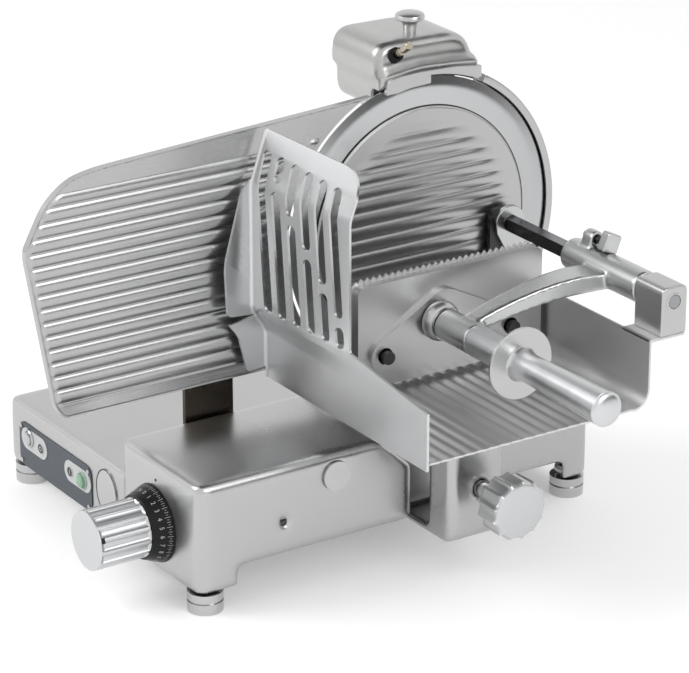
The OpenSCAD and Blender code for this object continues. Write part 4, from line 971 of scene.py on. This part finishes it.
def on_dial(turn, along, lift=0.12):
    """A point on the cone: turn in degrees from +X towards +Z, along from its back edge."""
    reach = DIAL_R + (DIAL_FRONT_R - DIAL_R) * along / DIAL_LEN + lift
    t = radians(turn)
    return at(KNOB_X + reach * cos(t), DIAL_Y - along, KNOB_Z + reach * sin(t))


print_mesh = bmesh.new()
for step in range(100):
    turn = ZERO_TURN - LINE_TURN * step
    start, end = (1.6, 7.6) if step % 4 == 0 else (2.4, 6.4) if step % 2 == 0 else (3.4, 5.4)
    corners = ((-0.3, start), (0.3, start), (0.3, end), (-0.3, end))
    print_mesh.faces.new([print_mesh.verts.new(on_dial(turn + a, b)) for a, b in corners])
for number in range(25):
    words = bpy.data.curves.new("number", "FONT")
    words.body, words.size, words.align_x = str(number), 6.8, "CENTER"
    flat = bpy.data.objects.new("number", words)
    mesh = bpy.data.meshes.new_from_object(flat)
    bpy.data.objects.remove(flat)
    for point in mesh.vertices:
        point.co = on_dial(ZERO_TURN - NUMBER_TURN * number - point.co.x * 1.42, 14.8 - point.co.y)
    print_mesh.from_mesh(mesh)
dial_print = piece_of("dial_print", print_mesh, white_print, "thickness_control")
index_line = [(0, 0), (0, 1.6), (0.5, 1.6), (0.5, 0)]
lathed("index_dot", index_line, (72, -394, 130), 1, 20, black_plastic, "base")
print("dial print has", len(dial_print.data.polygons), "faces")

# %% [markdown]
# ## The meat press
#
# The press swings on the square rod. Its arm was moulded above with the other
# castings. The lever that holds it down is a small tapered paddle on a pin.

# %% The lever
paddle = rounded([(103, 333), (121.6, 325.8), (129.7, 345.5), (112.4, 353.6)], [2, 2, 4, 4])
along_x("lever_paddle", paddle, 192, 205, arm_casting, "press_lock", 2.4, ["lock_lever"], 4)
pin_line = [(156, 0), (156, 3.8), (156.8, 4.5), (193, 4.5), (193, 0)]
lathed("lever_pin", pin_line, (0, 116, 337), 0, 32, dark_steel, "press_lock")
print("lever ready")

# %% The handle: collar, tube, disc and grip
HANDLE_AXIS, ROD_AXIS = (0, HANDLE_Y, HANDLE_Z), (0, ROD_Y, ROD_Z)
collar_line = [(138, 0), (138, 17.5), (139.5, 20.5), (143, 22.7), (147, 23), (150.5, 22.2), (153, 20.6),
               (154.6, 18.9), (155.2, 18.2), (155.8, 18.7), (157, 18.9), (158, 18.5), (158, 0)]
tube_line = [(216.2, 0), (216.2, 17.5), (216.7, 18), (286, 18), (290, 18.6), (292, 20)]
disc_line = [(292, 0), (292, 39.6), (292.8, 40.5), (295.2, 40.5), (296, 39.6), (296, 0)]
grip_line = [(296, 0), (296, 19.8), (297.4, 18.6), (299.5, 17.6), (303, 16.7), (308, 16.2), (316, 16.1),
             (330, 16.3), (370, 17.2), (410, 18.2), (442.6, 19.0), (443, 18.5), (443.5, 18.5),
             (443.9, 19.0), (445.4, 18.2), (446.8, 16.2), (447.8, 13), (448.5, 8.5), (448.9, 4), (449, 0)]
plug_line = [(320, 0), (320, 7.4), (322.3, 7.4), (322.6, 7.1), (322.6, 0)]
seat_line = [(321, 8.0), (321, 10.8), (322.2, 10.6), (322.5, 8.2), (321, 8.0)]
lathed("handle_collar", collar_line, HANDLE_AXIS, 0, 64, satin_casting, "pusher", ["handle_tube"])
lathed("handle_tube_turned", tube_line, HANDLE_AXIS, 0, 64, handle_aluminium, "pusher")
lathed("hand_disc", disc_line, HANDLE_AXIS, 0, 96, satin_casting, "pusher", ["handle_disc"])
lathed("grip_turned", grip_line, HANDLE_AXIS, 0, 64, handle_aluminium, "pusher", ["handle_grip"])
lathed("rod_plug", plug_line, ROD_AXIS, 0, 40, motor_casting, "rod")
lathed("rod_seat_ring", seat_line, ROD_AXIS, 0, 40, satin_casting, "carriage")
print("handle ready")

# %% [markdown]
# ## The tray
#
# The tray's floor is pressed into soft ribs that run across the machine, 15 mm
# apart, and they leave a scalloped edge where the sheet ends. At the back the
# sheet turns up in a wide bend to the end wall. The profile is one line from front
# to back, and the ribs' height fades at the inner end.

# %% Floor, bend and end wall
TRAY_FRONT, TRAY_BACK, TRAY_TOP, TRAY_IN, TRAY_OUT = -207.0, 84.0, 197.0, 12.0, 322.0
BEND_ROOM, BEND_R, WALL_TOP, TRAY_SHEET = 25.0, 20.5, 272.0, 2.6
TRAY_STEP, TRAY_PITCH, SCALLOP = 1.25, 15, 3.4
tray = bmesh.new()
line = [TRAY_FRONT + TRAY_STEP * k for k in range(int((TRAY_BACK - BEND_ROOM - TRAY_FRONT) / TRAY_STEP) + 1)]
floor_z = TRAY_TOP - 2.0
bend = arc((TRAY_BACK - 4.5 - BEND_R, floor_z + BEND_R), BEND_R, -90, 0, 10)
wall = [(TRAY_BACK - 4.5, z) for z in (235, 255, WALL_TOP)]
rails = []
for x_share in [0, 0.04, 0.08, 0.12, 0.16, 0.2, 0.4, 0.6, 0.8, 0.9, 0.98, 1.0]:
    rail = []
    for y in line:
        wave = (0.5 + 0.5 * cos(2 * pi * (y + 200 - 3.5) / TRAY_PITCH)) ** 0.8
        wave *= smooth_step(TRAY_BACK - BEND_ROOM - y, 0, 6)
        x_end = TRAY_OUT - SCALLOP * (1 - wave)
        x = TRAY_IN + (x_end - TRAY_IN) * x_share
        rise = 1.5 * wave * smooth_step(x, TRAY_IN + 8, TRAY_IN + 40)
        rail.append(tray.verts.new(at(x, y, floor_z + rise)))
    for y, z in bend[1:] + wall:
        rail.append(tray.verts.new(at(TRAY_IN + (TRAY_OUT - 0.6 - TRAY_IN) * x_share, y, z)))
    rails.append(rail)
for one, two in zip(rails, rails[1:]):
    for k in range(len(one) - 1):
        tray.faces.new((one[k], two[k], two[k + 1], one[k + 1]))
tray_steel = brushed("stainless steel sheet, satin", "#DADADA", 0.44, 0.5, 0, 0.03, 0.02)
tray_sheet = piece_of("tray_sheet", tray, tray_steel, "carriage", ["carriage_table"])
thicken(tray_sheet, TRAY_SHEET)
soften(tray_sheet, 0.3)
tab = prism(rounded([(272, 79.5), (322, 79.5), (322, 128), (272, 128)], [0, 3, 4, 4]), at, (268.5, 272))
finished("tray_tab", tab, tray_steel, "carriage", edge_mm=0.8)
print("tray has", len(tray_sheet.data.polygons), "faces")

# %% [markdown]
# ## The rod's ends
#
# At the inner end the rod sits in a bright arm that narrows towards the tray and
# stands in front of a dark back plate, whose darkness is painted shade for the
# shadow behind the arm. At the outer end it sits in a block of soft rectangular
# shape, and its end shows there as a plain round disc.

# %% The block, the bracket's arm, and a plate of painted shade behind it
block_line = [(94, 271.5), (128.5, 271.5)]
block_line += rounded([(128.5, 300), (128.5, 327.7), (94, 327.7), (94, 300)], [0, 9, 9, 0])
along_x("rod_block", block_line, 274.2, 321.9, satin_casting, "carriage", 1.8, ["end_block"], 4)
# The dark plate is painted shade: it stands for the shadow behind the bright arm.
shade_plate_line = rounded([(84.2, 200.5), (131.5, 200.5), (131.5, 310), (118, 328), (92, 328), (87, 318)],
                    [0, 0, 18, 8, 4, 6])
along_x("bracket_shade_plate", shade_plate_line, 9.2, 15, dark_steel, "carriage", 0.4, steps=2)
arm_line = [(104, 200.5), (131.5, 200.5), (131.5, 306)] + arc((ROD_Y, ROD_Z), 20.6, -10, 170, 24)
arm_line += [(92.5, 300), (106, 276), (107, 250)]
along_x("bracket_arm", arm_line, 14.6, 21, arm_casting, "carriage", 1.4, ["rod_bracket"], 3)
print("rod ends ready")

# %% [markdown]
# ## The control panel
#
# The panel is a printed foil. Each button sits with a round indicator in a pale
# lozenge. The stop button is domed steel in a steel rim, and the start button is a
# green lens in a clear rim. The indicators carry the plain marks for off and on, a
# ring and a bar.

# %% Rims, domes and marks
PILL_Y = -388.0
stop_at, start_at = (-231, 68), (-105, 62)
clear_rim = moulded("clear acrylic rim", "#DCEFE3", 0.15, 0.8, 0.02, 0.5)


def rim(name, middle, outer, inner, rise, material):
    low, crown = rise * 0.6, (rise, (outer + inner) / 2)
    profile = [(-0.4, outer), (low, outer), crown, (low, inner), (-0.4, inner)]
    lathed(name, profile, (middle[0], PILL_Y, middle[1]), 1, 48, material, "base")


rim("stop_rim", stop_at, 10.6, 8.15, 2.6, bright_steel)
rim("start_rim", start_at, 10.4, 8.15, 2.2, clear_rim)
dome = [(-8, 0), (-8, 7.9), (3.6, 7.9), (4.4, 7.5), (5.2, 6.2), (5.7, 4.2), (5.9, 2), (6.0, 0)]
for body, middle, material in (("stop", stop_at, bright_steel), ("start", start_at, green_lens)):
    lathed(body + "_dome", dome, (middle[0], PILL_Y, middle[1]), 1, 48, material, body, [body + "_button"])
for name, x, z in (("off_mark", -202.6, 65), ("on_mark", -133.4, 62)):
    rim(name + "_ring", (x, z), 6.3, 5.4, 1.3, pale_foil)
    if name == "off_mark":
        made = lathe([(1.2, 2.7), (1.35, 2.7), (1.35, 1.9), (1.2, 1.9)], (x, PILL_Y, z), 1, 32)
    else:
        bar = [(x - 0.45, z - 2.7), (x + 0.45, z - 2.7), (x + 0.45, z + 2.7), (x - 0.45, z + 2.7)]
        made = prism(bar, lambda u, v, w: at(u, w, v), (PILL_Y - 1.35, PILL_Y - 1.1))
    finished(name, made, pale_foil, "base")


def oval(half_w, half_h):
    turns = [t * pi / 36 for t in range(72)]
    return [(-52 + half_w * cos(t), 66 + half_h * sin(t)) for t in turns]


edge = filled(oval(23.2, 28.2), [oval(21.6, 26.6)])
for point in edge.verts:
    point.co = at(point.co.x, -387.2, point.co.y)
finished("oval_edge", edge, dark_print, "base")
print("panel ready")
